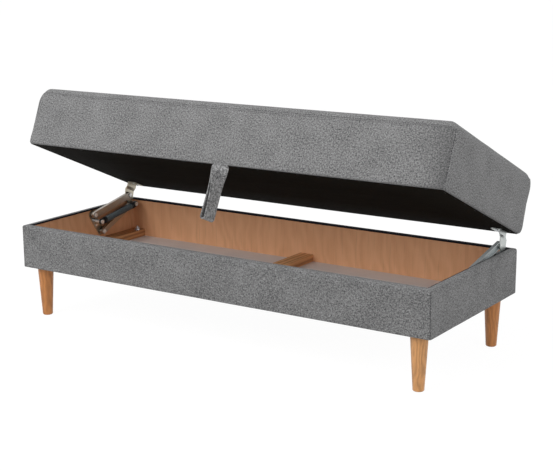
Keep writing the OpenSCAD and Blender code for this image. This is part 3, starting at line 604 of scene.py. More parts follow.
def finishes(scene):
    """All materials by name, made once."""
    made = {m.name: m for m in bpy.data.materials if m.get("bench")}
    if made:
        return made
    cloth, wood, hinge = scene.bench_cloth, scene.bench_wood, scene.bench_hinge
    light, dark = shade(cloth.light), shade(cloth.dark)
    oak = {"along_axis": 2, "fine": 1500, "figure": 60, "swing": 0.014, "pores": 0.5, "rough": 0.42,
           "coat": 0.12, "rings_part": 0.26, "slope": 0.1, "waves": (26, 9)}
    new = [
        # Painted shade darkens the lid's cloth on its front towards the front right corner
        woven("Lid fabric", cloth, light, dark, (0.0, 0.0, 0.0), corner_shade=0.42),
        # Painted shade: the chest's cloth is the lid's cloth made darker by 0.92
        woven("Chest fabric", cloth, shade(light, 0.92), shade(dark, 0.92), (7.3, 2.1, 0.4)),
        # Painted light: the loop's cloth is the lid's cloth made lighter by 1.25 against the shade it hangs
        # in
        woven("Loop fabric", cloth, shade(light, 1.25), shade(dark, 1.25), (4.7, 5.9, 0.8), coarse=1.7),
        plain_weave("Sewing thread", shade(cloth.thread), shade(cloth.thread, 0.7), 0.0006, 0.0002, "Object"),
        # The tape's black is partly its own colour and partly painted shade on the rim
        plain_weave("Black tape", ink(34, 35, 44), ink(18, 18, 24), 0.0011, 0.0002),
        plain_weave("Black lining", ink(16, 13, 6), ink(8, 6, 3), 0.0009, 0.0002, rough=0.95),
        # Painted shade darkens the chest's plywood towards its rim
        timber("Plywood upright", shade(wood.plywood), shade(wood.grain), 2, swing=0.03, rings_part=0.14,
               slope=0.2, waves=(11, 5), dim=0.35),
        timber("Plywood across", shade(wood.plywood, 0.92), shade(wood.grain), 0),
        timber("Batten", ink(232, 174, 120), ink(150, 98, 62), 1, 1100, 60, 0.01, rings_part=0.3),
        timber("Lid batten", ink(214, 178, 130), ink(168, 126, 84), 0, figure=30),
        # Painted shade: the legs other than the front right one take a darker, browner copy of the oak
        timber("Oak", shade(wood.oak), shade(wood.oak, 0.5), **oak),
        timber("Browner oak", shade(wood.oak_in_shade), shade(wood.oak_in_shade, 0.55), **oak),
        sheet_board("Bottom board", shade(wood.board), shade(wood.board, 0.86)),
        metal("Bright steel", hinge.steel, 0.3),
        # Painted shade: the left hinge's steels are darker, browner copies of the bright steel
        metal("Warm steel", ink(178, 170, 154), 0.34),
        metal("Link steel", ink(176, 168, 158), 0.38, wear=0.4),
        metal("Dull steel", ink(186, 193, 194), 0.45, 0.3, 0.3),
        metal("Rivet", ink(232, 232, 230), 0.25, 0.45, 0.15),
        metal("Zinc", ink(214, 218, 224), 0.25, 0.8, 0.35),
        metal("Dark staple", ink(70, 70, 72), 0.45, 0.8, 0.3),
        metal("Spring steel", hinge.spring, 0.36, 0.4, 0.3, (300, 300, 300)),
        plastic("Black holder", ink(30, 30, 32)),
        foam_finish("Foam", ink(232, 220, 178)),
    ]
    for material in new:
        material["bench"] = True
    return {material.name: material for material in new}


# What each node of the packed model is finished in, besides those that a piece replaces
NODE_FINISHES = {
    "Plywood upright": ["front_panel", "rear_panel", "left_end_panel", "right_end_panel"],
    "Bottom board": ["bottom_board"],
    "Batten": ["left_rail", "middle_rail", "right_rail"],
    "Oak": ["front_right_leg"],
    # Painted shade: the legs away from the light take the darker oak
    "Browner oak": ["front_left_leg", "rear_left_leg", "rear_right_leg"],
    "Lid batten": ["lid_front_rail", "lid_rear_rail", "lid_left_rail", "lid_right_rail", "lid_cross_rails"],
    "Plywood across": ["lid_board"],
    "Zinc": ["wall_screws", "leg_bolts", "leg_washers", "leg_nuts", "left_plate_screws",
             "right_plate_screws", "left_bracket_screws", "right_bracket_screws"],
    "Bright steel": ["right_base_plate", "right_lid_bracket"],
    "Dull steel": ["right_upper_link", "right_lower_link"],
    # Painted shade: the left hinge takes the darker steels
    "Warm steel": ["left_base_plate", "left_lid_bracket"],
    "Link steel": ["left_upper_link", "left_lower_link"],
    "Rivet": ["left_base_pivots", "right_base_pivots", "left_bracket_pivots", "right_bracket_pivots"],
    "Black holder": ["left_spring_front_holder", "right_spring_front_holder",
                     "left_spring_rear_holder", "right_spring_rear_holder"],
    "Black lining": ["lid_lining"],
    "Black tape": ["rim_tape"],
    "Chest fabric": ["chest_cover"],
    "Lid fabric": ["lid_cover"],
    "Foam": ["lid_foam"],
    "Loop fabric": ["pull_loop"],
    "Spring steel": ["left_spring", "right_spring"],
}


def finish_nodes(scene):
    """Gives every node of the packed model its finish."""
    made = finishes(scene)
    for finish, names in NODE_FINISHES.items():
        for name in names:
            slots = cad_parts[name].data.materials
            slots.clear()
            slots.append(made[finish])


# Pieces


def over_the_wall(first, start, thick):
    """Section of cloth on a wall's upper edge: its first points, a quarter circle of radius FLAP_R, the end
    of its flap inside the wall, and back underneath to the start."""
    curl = np.linspace(0, np.pi / 2, FLAP_STEPS)
    return np.concatenate([
        first,
        np.stack([WALL + thick - FLAP_R + FLAP_R * np.sin(curl), RIM - FLAP_R + FLAP_R * np.cos(curl)], -1),
        [[WALL + thick, RIM - FLAP_DROP], [WALL, RIM - FLAP_DROP]],
        [[WALL, RIM - COVER_T], [start, RIM - COVER_T]]])


def corner_grooves(arc, runs, radius, width):
    """Grooves down the four corners of an outline: a bell curve of each point's distance from the nearest
    corner's middle. Gives the number of points on each side too."""
    sides = [2 * arc + runs[k % 2] for k in range(4)]
    steps = np.concatenate([np.minimum(np.arange(n), n - np.arange(n)) for n in sides])
    return sides, np.exp(-(steps * radius * math.pi / 4 / arc / width) ** 2)


def chest_section():
    """Closed section of the fabric round the chest: outside it rises from the fold under the lower edge, over
    rounded edges, to the rim, and it comes back inside. Gives how far each point lies inside the left, right,
    front and rear side, the heights, which points waves and seams may move, and the count of those
    outside."""
    low_r, high_r, bevel, tucked, flat_share, flat_in = 3.5, 6.5, 0.8, 1.6, 0.6, 2.2
    turn, rise = np.linspace(0, np.pi / 2, 6), np.linspace(CHEST_LOW + low_r, RIM - high_r, 14)
    outer = np.concatenate([
        [[COVER_FOLD, CHEST_LOW]],
        np.stack([low_r - low_r * np.sin(turn), CHEST_LOW + low_r - low_r * np.cos(turn)], -1),
        np.stack([0 * rise, rise], -1)[1:-1],
        np.stack([high_r - high_r * np.cos(turn), RIM - high_r + high_r * np.sin(turn)], -1)])
    inner = np.array([
        [COVER_T + bevel, RIM - COVER_T], [COVER_T, RIM - COVER_T - bevel],
        [COVER_T, CHEST_LOW + COVER_T + bevel], [COVER_T + bevel, CHEST_LOW + COVER_T],
        [COVER_FOLD, CHEST_LOW + COVER_T]])
    edges = np.array([END_CLOTH, RIGHT_CLOTH, WALL - tucked, REAR_CLOTH])
    widths = np.concatenate([
        np.repeat(outer[:, :1], 4, 1), [edges * flat_share + flat_in, edges, edges],
        np.repeat(inner[:, :1], 4, 1)])
    level = np.concatenate([outer[:, 1], [RIM, RIM, RIM - COVER_T], inner[:, 1]])
    loose = (np.arange(len(level)) < len(outer)) & (level < RIM - high_r / 2)
    return widths, level, loose, len(outer)


def make_chest_fabric(scene):
    """Fabric round the chest: its closed section runs round the rounded outline, turns over the rim by
    another width on each side, and is sewn down each corner. A second strip turns down inside the front.
    Staples hold the fold underneath."""
    made, shell = finishes(scene), Shell()
    waviness, wavelengths = 0.25, (60, 85, 130, 190, 260)
    seam_depth, seam_width, least_r, measured_row = 1.5, 1.2, 0.8, 8
    arc, runs, panel_shift = 8, (110, 42), 370
    widths, level, loose, outside = chest_section()
    end, right, front, rear = widths.T
    half_x, half_y = (CHEST_W - end - right) / 2, (CHEST_D - front - rear) / 2
    places, outs, _ = outline(half_x, half_y, np.maximum(CHEST_R - end, least_r), arc, runs)
    places += np.stack([end - right, front - rear], -1)[:, None] / 2
    points = np.concatenate([places, np.broadcast_to(level[:, None, None], (*places.shape[:2], 1))], -1)
    sides, groove = corner_grooves(arc, runs, CHEST_R, seam_width)
    wave = waviness * ripple(points, wavelengths, seed=11)
    points[..., :2] += outs * np.where(loose[:, None], wave - waviness - seam_depth * groove, 0)[..., None]
    numbers = shell.place(points)
    profile = np.stack([end, level], -1)
    around, height = along(wrapped(points[measured_row], 0)), along(profile)
    starts = [sum(sides[:k]) for k in range(4)]
    for k, (start, n) in enumerate(zip(starts, sides)):
        columns = np.arange(start, start + n + 1)
        rows = wrapped(wrapped(numbers), 0)[:, columns]
        shell.skin(rows, pairs(around[columns] + panel_shift * k, along(wrapped(profile, 0))))

    strip_from, strip_low = WALL - 2, 0.04
    edge = over_the_wall([[strip_from, RIM - strip_low]], strip_from, COVER_T)
    share = np.linspace(-1, 1, 90)[:, None]
    strip = np.stack(np.broadcast_arrays(
        share * (CHEST_W / 2 - WALL - TAPE_T), edge[None, :, 0] - CHEST_D / 2, edge[None, :, 1]), -1)
    shell.bar(strip, edge, share[:, 0] * CHEST_W / 2)
    piece = shell.build("chest_fabric", made["Chest fabric"], "woven_fabric")
    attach(piece, "root")
    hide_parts("chest_cover")

    from_hem = 4
    in_by = COVER_FOLD - from_hem
    hem = rectangle(CHEST_W / 2 - in_by, CHEST_D / 2 - in_by, 0, CHEST_LOW)
    staple_row("chest_staples", made["Zinc"], "root", hem, pitch=48, down=[0.0, 0.0, -1.0], proud=0.1)
    sewn, pitch = Shell(), scene.bench_cloth.stitch / MM
    sewn_rows = slice(5, outside - 3)
    for start, (x, y) in zip(starts, CORNERS):
        places, ways, _ = spaced(points[sewn_rows, start], pitch, closed=False)
        outs_at = squared(np.array([x, y, 0]) / math.sqrt(2), ways)
        # The corner stitches are real, but are made thick and close so that their dark thread also stands in
        # for the shade in the seam's groove: painted shade
        threads(sewn, places + outs_at * 0.2, ways, outs_at, size=pitch * 0.85, thick=1.5, rise=0.2)
    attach(sewn.build("chest_seam_stitches", made["Sewing thread"], "woven_fabric"), "root")


def make_rim_tape(scene):
    """Black tape on the inner part of the rim: its section lies on the wall's edge and turns down inside it.
    It is carried along the left end, the rear and the right end, wider at the rear."""
    shell = Shell()
    bevel, mean_width, end_rows, rear_rows = 0.5, 0.0146, 26, 70
    edge = over_the_wall([[0, RIM - bevel], [bevel, RIM]], 0, TAPE_T)
    inset, level = edge.T
    left_in, right_in, rear_in = (np.where(inset <= bevel, inset + cloth, inset)
                                  for cloth in (END_CLOTH, RIGHT_CLOTH, REAR_CLOTH))
    low_x, high_x, half_y = left_in - CHEST_W / 2, CHEST_W / 2 - right_in, CHEST_D / 2 - rear_in
    back_share, side_share = np.linspace(0, 1, end_rows)[:, None], np.linspace(0, 1, rear_rows)[:, None]
    front = -CHEST_D / 2 + WALL
    backwards = front + back_share * (half_y - front)
    left, right, back = (np.stack(np.broadcast_arrays(x, y, level), -1) for x, y in (
        (low_x, backwards), (high_x, backwards), (low_x + side_share * (high_x - low_x), half_y)))
    points = np.concatenate([left, back[1:-1], right[::-1]])
    shell.bar(points, edge, along(points[:, 0]))
    piece = shell.build("rim_tape_cloth", finishes(scene)["Black tape"], "black_tape")
    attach(piece, "root")
    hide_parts("rim_tape")


def rounding(radius, height):
    """How far a rounded edge lies inside its corner at a height above it:
    radius - sqrt(radius² - (radius - height)²)."""
    return radius - np.sqrt(radius ** 2 - np.clip(radius - height, 0, radius) ** 2)


def lid_profile(settings):
    """Side of the cushion from its underside to its top, as insets, heights and the depth of the front seam's
    groove, which is a narrow and a wide bell curve of the distance from the seam. Gives the number of the
    seam's ring too."""
    narrow, wide, wide_part, ring_gap, outer_gap, clear = 1.6, 9, 0.35, 1.2, 3.4, 5
    seam = LID_H - settings.seam_drop / MM
    low = LID_LOW_R * (1 - np.cos(np.linspace(0, np.pi / 2, 5)))
    close = seam + np.array([-outer_gap, -ring_gap, 0, ring_gap, outer_gap])
    side = np.concatenate([np.linspace(LID_LOW_R, seam - wide, 13)[1:], close])
    top = LID_H - LID_TOP_R * (1 - np.sin(np.linspace(0, np.pi / 2, 8)))
    level = np.concatenate([low, side, top[top > seam + clear]])
    inset = rounding(LID_LOW_R, level) + rounding(LID_TOP_R, LID_H - level)
    groove = np.exp(-((level - seam) / narrow) ** 2) + wide_part * np.exp(-((level - seam) / wide) ** 2)
    return inset, np.maximum(level, LINING_T), groove, len(low) + len(side) - 3


def lid_rings(settings, arc, runs):
    """Rings of the cushion's rounded outline, one at each height of its side's profile. The sides are drawn
    in by shares of 1 - run², the lower edges of the long ones hang, and slow waves lie over all. The front
    and the rear panel are sewn in along their tops and corners. Gives the rings, the last one's places and
    directions before it is drawn in, the distances up the side, and the number of the seam's ring."""
    top_slack, top_band, flare, flare_band, least_r = 0.4, 20, 7, 18, 4
    turn_low, turn_band = 30, 45
    inset, level, groove, seam_ring = lid_profile(settings)
    seam, corner_r = level[seam_ring], settings.corner / MM
    rear = rounding(settings.rear_round / MM, level) - rounding(LID_LOW_R, level)
    ends = rounding(settings.end_round / MM, LID_H - level) - rounding(LID_TOP_R, LID_H - level)
    slack = settings.start_inset / MM * (1 - (1 - top_slack) * ease((level - LID_H + top_band) / top_band))
    low_extra = flare * (1 - ease(level / flare_band))
    turned = ease((level - seam + turn_low) / turn_band)
    radius = corner_r + (settings.top_corner / MM - corner_r) * turned + low_extra
    half_x, half_y = LID_W / 2 - inset - slack - ends, (LID_D - rear) / 2 - inset - slack
    places, outs, run = outline(half_x, half_y, np.maximum(radius - inset, least_r), arc, runs)
    places[..., 1] -= (LID_D + rear[:, None]) / 2

    corner_width, corner_depth, panel_pull, panel_reach = 1.7, 0.8, 3, 32
    free_low, free_band, seam_band = 6, 16, 6
    hang_depth, hang_low, hang_from, hang_band, hang_lean = 4, 3, 2, 22, 0.4
    waviness, wavelengths = 0.5, (90, 130, 170, 240, 330)
    sides, corner = corner_grooves(arc, runs, corner_r, corner_width)
    long_side = np.concatenate([np.full(n, 1.0 - k % 2) for k, n in enumerate(sides)])
    free = ease((level - free_low) / free_band)[:, None]
    below_seam = ease((seam - level + seam_band) / seam_band)[:, None]
    sunk = (groove[:, None] * long_side + corner_depth * corner * below_seam) * free
    bow = ease(level / seam) * (1 - ease((level - seam) / (LID_H - seam)))
    reach = (1 - np.abs(run)) * np.where(long_side > 0, LID_W, LID_D) / 2
    pulled = panel_pull * long_side * np.exp(-reach / panel_reach)
    drawn = bow[:, None] * ((1 + long_side) * (1 - run ** 2) + pulled) + settings.seam_depth / MM * sunk
    edge = hang_depth * (ease((level - LINING_T) / hang_low) * (1 - ease((level - hang_from) / hang_band)))
    hang = edge[:, None] * (1 - run ** 2) * (1 + hang_lean * run) * long_side
    rings = np.concatenate([places, (level[:, None] - hang)[..., None]], -1)
    wave = waviness * ripple(rings, wavelengths, seed=3) * free
    rings[..., :2] += outs * (wave - drawn)[..., None]
    return rings, places[-1], outs[-1], along(np.stack([inset, level], -1)), seam_ring


def grid_between(loop, nx, ny):
    """Grid between the four sides of a closed loop of points: along plus across less the corners, all in
    straight shares."""
    s, t = np.linspace(0, 1, nx + 1)[:, None, None], np.linspace(0, 1, ny + 1)[None, :, None]
    rear, left = loop[:nx + 1, None], loop[nx:nx + ny + 1][None]
    front, right = loop[nx + ny:2 * nx + ny + 1][::-1][:, None], loop[2 * nx + ny:][::-1][None]
    corners = ((1 - s) * (1 - t) * loop[0] + s * (1 - t) * loop[nx]
               + s * t * loop[nx + ny] + (1 - s) * t * loop[2 * nx + ny])
    return (1 - t) * rear + t * front + (1 - s) * right + s * left - corners


def cover(shell, ring, ring_numbers, nx, ny, crown, offset, flip):
    """Closes the cushion with a grid inside a ring, raised by the crown times 1 - (1 - far)², one for each
    axis, where far is 0 at the edge and 1 from just before the middle."""
    crown_share = 0.95
    grid = grid_between(wrapped(ring, 0), nx, ny)
    reach = crown_share * LID_D / 2 - LID_TOP_R
    far_x = np.clip((LID_W / 2 - LID_TOP_R - np.abs(grid[..., 0])) / reach, 0, 1)
    far_y = np.clip((LID_D / 2 - LID_TOP_R - np.abs(grid[..., 1] + LID_D / 2)) / reach, 0, 1)
    grid[..., 2] += crown * (1 - (1 - far_x) ** 2) * (1 - (1 - far_y) ** 2)
    whole, loop = np.zeros((nx + 1, ny + 1), int), wrapped(ring_numbers)
    whole[1:-1, 1:-1] = shell.place(grid[1:-1, 1:-1])
    whole[:, 0], whole[-1, :] = loop[:nx + 1], loop[nx:nx + ny + 1]
    whole[:, -1], whole[0, :] = loop[nx + ny:2 * nx + ny + 1][::-1], loop[2 * nx + ny:][::-1]
    shell.skin(whole[::flip], (grid[..., :2] + offset)[::flip])
    return whole


def sew_lid(scene, solved, numbers, seam_ring, seam_columns, corners):
    """Stitches on the solved cushion: two rows along the front and the rear seam, one on each side of its
    groove, and one row down each upright corner."""
    sewn, pitch = Shell(), scene.bench_cloth.stitch / MM
    beside_seam, beside_corner, corner_rows = 2, 6, slice(5, seam_ring - 1)
    for columns in seam_columns:
        for ring in (seam_ring - beside_seam, seam_ring + beside_seam):
            line = solved[numbers[ring, columns]]
            up = solved[numbers[ring + 1, columns]] - solved[numbers[ring - 1, columns]]
            places, ways, at = spaced(line, pitch, closed=False)
            outs_at = unit(np.cross(ways, unit(read_along(up, line, at))))
            threads(sewn, places + outs_at * 0.1, ways, outs_at, size=pitch * 0.62, thick=0.95, rise=0.25)
    for column in corners:
        line, before, after = (solved[numbers[corner_rows, column + step]]
                               for step in (0, -beside_corner, beside_corner))
        places, ways, at = spaced(line, pitch, closed=False)
        outs_at = squared(unit(read_along(line - before + line - after, line, at)), ways)
        threads(sewn, places + outs_at * 0.3, ways, outs_at, size=pitch * 0.85, thick=1.7, rise=0.2)
    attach(sewn.build("lid_seam_stitches", finishes(scene)["Sewing thread"], "woven_fabric"), "lid")


def make_lid(scene):
    """Cushion of the lid: its rings from the underside to the top, closed by grids inside the first and the
    last ring. Cloth simulation swells it, and it is stitched where it then lies."""
    settings, shell = scene.bench_lid, Shell()
    arc, runs, measured_ring, held_rings = 6, (100, 36), 8, 4
    rings, top_places, top_outs, distance, seam_ring = lid_rings(settings, arc, runs)
    nx, ny = (2 * arc + n for n in runs)
    corners = (0, nx, nx + ny, 2 * nx + ny)
    numbers = shell.place(rings)
    around = along(wrapped(rings[measured_ring], 0))
    # U is 0 at the middle of the front right corner; the lid fabric's painted shade lies on the front just
    # before it
    around -= around[corners[3]]
    shell.skin(wrapped(numbers)[:seam_ring + 1], pairs(around, distance[:seam_ring + 1]))
    top_uv, under_uv = [2400, 900], [0, 4000]
    beyond = (distance[-1] - distance[seam_ring:])[:, None, None]
    shell.skin(wrapped(numbers)[seam_ring:], wrapped(top_places + top_outs * beyond + top_uv, 1))
    cover(shell, rings[-1], numbers[-1], nx, ny, LID_CROWN, top_uv, 1)
    under = cover(shell, rings[0], numbers[0], nx, ny, 0, under_uv, -1)
    held = np.zeros(shell.count)
    for weight, part in ((0.5, numbers[seam_ring]), (0.6, numbers[held_rings]),
                         (1, numbers[:held_rings]), (1, under)):
        held[part.ravel()] = weight
    shell.points = [on_lid(np.concatenate(shell.points))]
    piece = shell.build("lid_cushion", finishes(scene)["Lid fabric"], "woven_fabric")
    swell(piece, held, force=4.0, cap=settings.swell)
    solved = np.zeros(shell.count * 3)
    piece.data.vertices.foreach_get("co", solved)
    smooth = piece.modifiers.new("Smooth", "SUBSURF")
    smooth.levels = smooth.render_levels = 1
    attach(piece, "lid")
    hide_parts("lid_cover", "lid_foam")
    seam_columns = [np.arange(first + arc // 2, first + nx - arc // 2 + 1) for first in (0, nx + ny)]
    sew_lid(scene, solved.reshape(-1, 3) / MM, numbers, seam_ring, seam_columns, corners)


def make_lining(scene):
    """Lining under the lid: two grids a cloth's thickness apart, which hang by sag * ease(x) * ease(y) of the
    distances from their edges, with soft folds that fade towards the edges, and staples along them."""
    shell, settings = Shell(), scene.bench_lid
    sag, rear = settings.sag / MM, settings.rear_round / MM - 1
    flat_edge, fade_x, fade_y, smooth_edge, drop, thick = 48, 150, 130, 90, 0.15, LINING_T - 0.25
    fold_depth, fold_lengths, fold_fade = 0.35, (38, 55, 80, 120), 0.3
    staple_in, edge_step = 7, 9.0
    half_x, half_y = LID_W / 2 - LINING_BACK, (LID_D - LINING_BACK - rear) / 2
    middle = (LINING_BACK - rear - LID_D) / 2
    s, t = np.linspace(-1, 1, 150)[:, None], np.linspace(-1, 1, 58)[None, :]
    x, y = s * half_x + 0 * t, t * half_y + 0 * s
    in_x, in_y = half_x - np.abs(x), half_y - np.abs(y)
    inner_x, inner_y = ease((in_x - flat_edge) / fade_x), ease((in_y - flat_edge) / fade_y)
    pull = ease(in_y / smooth_edge) * ease(in_x / smooth_edge)
    soft = ripple(np.stack([x, y, 0 * x], -1), fold_lengths, seed=7)
    fold = fold_depth * soft * inner_x ** fold_fade * inner_y ** fold_fade * pull
    low = np.where((in_x < 1) | (in_y < 1), 0.0, -drop - sag * inner_x * inner_y - np.abs(fold))
    surface, uv = np.stack([x, y + middle, low], -1), np.stack([x, y], -1)
    upper = shell.place(surface + [0, 0, thick])
    lower = shell.place(surface)
    shell.skin(upper, uv)
    shell.skin(lower[::-1], uv[::-1])
    for first, second in ((upper[0], lower[0]), (lower[-1], upper[-1]),
                          (lower[:, 0], upper[:, 0]), (upper[:, -1], lower[:, -1])):
        shell.skin(np.stack([first, second]), pairs(np.arange(len(first)) * edge_step, [0, thick]))
    shell.points = [on_lid(np.concatenate(shell.points))]
    piece = shell.build("lid_lining_cloth", finishes(scene)["Black lining"], "black_lining")
    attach(piece, "lid")
    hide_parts("lid_lining")
    edge = on_lid(rectangle(half_x - staple_in, half_y - staple_in, middle, 0))
    down = unit(on_lid([0, 0, -1]) - on_lid([0, 0, 0]))
    staple_row("lining_staples", finishes(scene)["Dark staple"], "lid", edge, pitch=62, down=down, proud=0.05)


def loop_frames(down):
    """Pull loop at a depth: how far it has turned, half the distance between its bands, and how far its
    middle has moved sideways and forwards. It turns by its whole turn * (1 - exp(-down / over)), and leans
    forward as it hangs."""
    turn = LOOP_TURN * (1 - np.exp(-np.maximum(down, 0) / LOOP_TURNS_OVER))
    top_r = LOOP_T / 2 + SEAT_GAP
    gap = top_r + (LOOP_HALF_GAP - top_r) * ease(down / (LOOP_L - LOOP_HALF_GAP))
    way = LOOP_SIDE * LOOP_W / 2 * np.sin(turn)
    forward = (LOOP_W / 2 * np.sin(turn) + (gap + LOOP_T / 2) * np.abs(np.cos(turn)) - top_r - LOOP_T / 2
               + np.maximum(down, 0) * math.tan(LOOP_LEAN))
    return turn, gap, way, forward


def make_pull_loop(scene):
    """Pull loop: a flat section with rounded edges runs down one band, round the fold, up the other band and
    round its sewn end. At each depth it is turned and moved by loop_frames."""
    shell = Shell()
    leg, top_r, half = LOOP_L - LOOP_HALF_GAP, LOOP_T / 2 + SEAT_GAP, LOOP_T / 2
    down = np.linspace(0, leg, 61)[:-1]
    gap = loop_frames(down)[1]
    bend, head = np.linspace(0, np.pi, 25), np.linspace(0, np.pi, 10)[1:-1]
    path = np.concatenate([
        np.stack([-gap, down], -1),
        np.stack([-LOOP_HALF_GAP * np.cos(bend), leg + LOOP_HALF_GAP * np.sin(bend)], -1),
        np.stack([gap, down], -1)[::-1],
        np.stack([top_r * np.cos(head), -top_r * np.sin(head)], -1)])
    run = unit(np.roll(path, -1, 0) - np.roll(path, 1, 0))
    face = np.stack([-run[:, 1], run[:, 0]], -1)
    turn, _, way, forward = loop_frames(path[:, 1])
    across = np.stack([np.sin(turn), -np.cos(turn), 0 * turn], -1)
    band = np.stack([np.cos(turn), np.sin(turn), 0 * turn], -1)
    middle = np.stack([way, -forward, 0 * turn], -1)
    edge, hem_rise, hem_wide, hem_over = np.linspace(-np.pi / 2, np.pi / 2, 7), 0.14, 8, 3
    flat = np.linspace(LOOP_W / 2 - half, -LOOP_W / 2 + half, 13)[1:-1]
    thinned = half * (1 - hem_rise + hem_rise * ease((np.abs(flat) - LOOP_W / 2 + hem_wide) / hem_over))
    section = np.concatenate([
        np.stack([LOOP_W / 2 - half + half * np.cos(edge), half * np.sin(edge)], -1),
        np.stack([flat, thinned], -1),
        np.stack([-LOOP_W / 2 + half - half * np.cos(edge), -half * np.sin(edge)], -1),
        np.stack([-flat, -thinned], -1)])
    apart = LID_LOW_R + top_r + half + SEAT_GAP
    drop = math.sqrt(apart ** 2 - (LID_LOW_R - LOOP_BACK) ** 2) - LID_LOW_R - LINING_T

    def surface(wide, thick):
        """Points of the band at places across it and heights over its middle, under the lid's front edge."""
        wide, thick = np.atleast_1d(wide), np.atleast_1d(thick)
        side = path[:, None] + thick[None, :, None] * face[:, None]
        points = (middle[:, None] + wide[None, :, None] * band[:, None] + side[..., :1] * across[:, None]
                  - side[..., 1:] * [0, 0, 1])
        return on_lid(points + [LOOP_X, -LID_D + LOOP_BACK, -drop])

    numbers = shell.place(surface(section[:, 0], section[:, 1]))
    rows, length_along = wrapped(wrapped(numbers, 0)), along(wrapped(path, 0))
    shell.skin(rows, pairs(along(wrapped(section, 0)), length_along))
    piece = shell.build("pull_loop_band", finishes(scene)["Loop fabric"], "webbing")
    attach(piece, "pull_loop")
    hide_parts("pull_loop")

    sewn, sewn_rows, edge_gap, top_gap, sunk_share = Shell(), slice(4, -12), 4, 3, 0.9
    for wide in (-LOOP_W / 2 + edge_gap, LOOP_W / 2 - edge_gap):
        for height in (-half, half):
            line, inner = (surface(wide, thick)[sewn_rows, 0] for thick in (height * sunk_share, 0))
            places, ways, at = spaced(line, 4.6, closed=False)
            outs_at = squared(unit(read_along(line - inner, line, at)), ways)
            threads(sewn, places, ways, outs_at, size=3, thick=0.6, rise=0.2)
    wide = np.linspace(top_gap - LOOP_W / 2, LOOP_W / 2 - top_gap, 12)
    line, inner = (surface(wide, thick)[-len(head) - 1] for thick in (half, 0))
    places, ways, _ = spaced(line, 4, closed=False)
    threads(sewn, places, ways, squared(unit((line - inner).mean(0)), ways), size=3.6, thick=1.0, rise=0.2)
    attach(sewn.build("pull_loop_stitches", finishes(scene)["Sewing thread"], "webbing"), "pull_loop")


def make_springs(scene):
    """Springs: round wire along a line that leaves one shoulder, curls about the spring's axis and enters the
    other. A curl's point is radius * (cos, sin) across the axis and pitch * turn along it."""
    wire, turns, sides, steps, tail = scene.bench_hinge.wire / MM, scene.bench_hinge.turns, 10, 22, 0.5
    front, rear = np.array(SPRING_FRONT, float), np.array(SPRING_REAR, float)
    reach, angle = float(np.linalg.norm(rear - front)), math.atan2(*(rear - front)[::-1])
    radius, lead = (SPRING_D - wire) / 2, wire + BEND_R
    start, stop = COIL_START + lead, reach - COIL_START - lead
    turn = np.linspace(0, turns, turns * steps + 1)
    curl = np.stack([radius * np.cos(2 * np.pi * turn), start + (stop - start) * turn / turns,
                     radius * np.sin(2 * np.pi * turn)], -1)
    bend = np.linspace(0, np.pi / 2, 5)[:-1]
    entry = np.concatenate([
        [[radius, COIL_START - tail, -BEND_R]],
        np.stack([radius + 0 * bend, COIL_START + wire + BEND_R * np.sin(bend), -BEND_R * np.cos(bend)], -1)])
    leave = np.stack([entry[:, 0], reach - entry[:, 1], -entry[:, 2]], -1)[::-1]
    line = np.concatenate([entry, curl, leave])
    way = unit(np.gradient(line, axis=0))
    way[[0, -1]] = [0, 1, 0]
    side = unit(np.cross(way, unit(line * [1, 0, 1])))
    up = np.cross(side, way)
    around = np.arange(sides) * 2 * np.pi / sides
    ring = wire / 2 * np.stack([np.cos(around), np.sin(around)], -1)
    tube = line[:, None] + side[:, None] * ring[None, :, :1] + up[:, None] * ring[None, :, 1:]
    c, s = math.cos(angle), math.sin(angle)

    def home(points, sign):
        """Brings points from a spring's own frame, with its axis along Y, to its place on one hand."""
        x, y, z = np.moveaxis(points, -1, 0)
        return np.stack([sign * (SPRING_X - x), front[0] + y * c - z * s, front[1] + y * s + z * c], -1)

    for hand, sign in (("left", -1), ("right", 1)):
        shell = Shell()
        shell.bar(home(tube, sign), ring, along(line))
        piece = shell.build(f"{hand}_coil", finishes(scene)["Spring steel"], "spring_steel")
        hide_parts(f"{hand}_spring")
        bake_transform(piece)


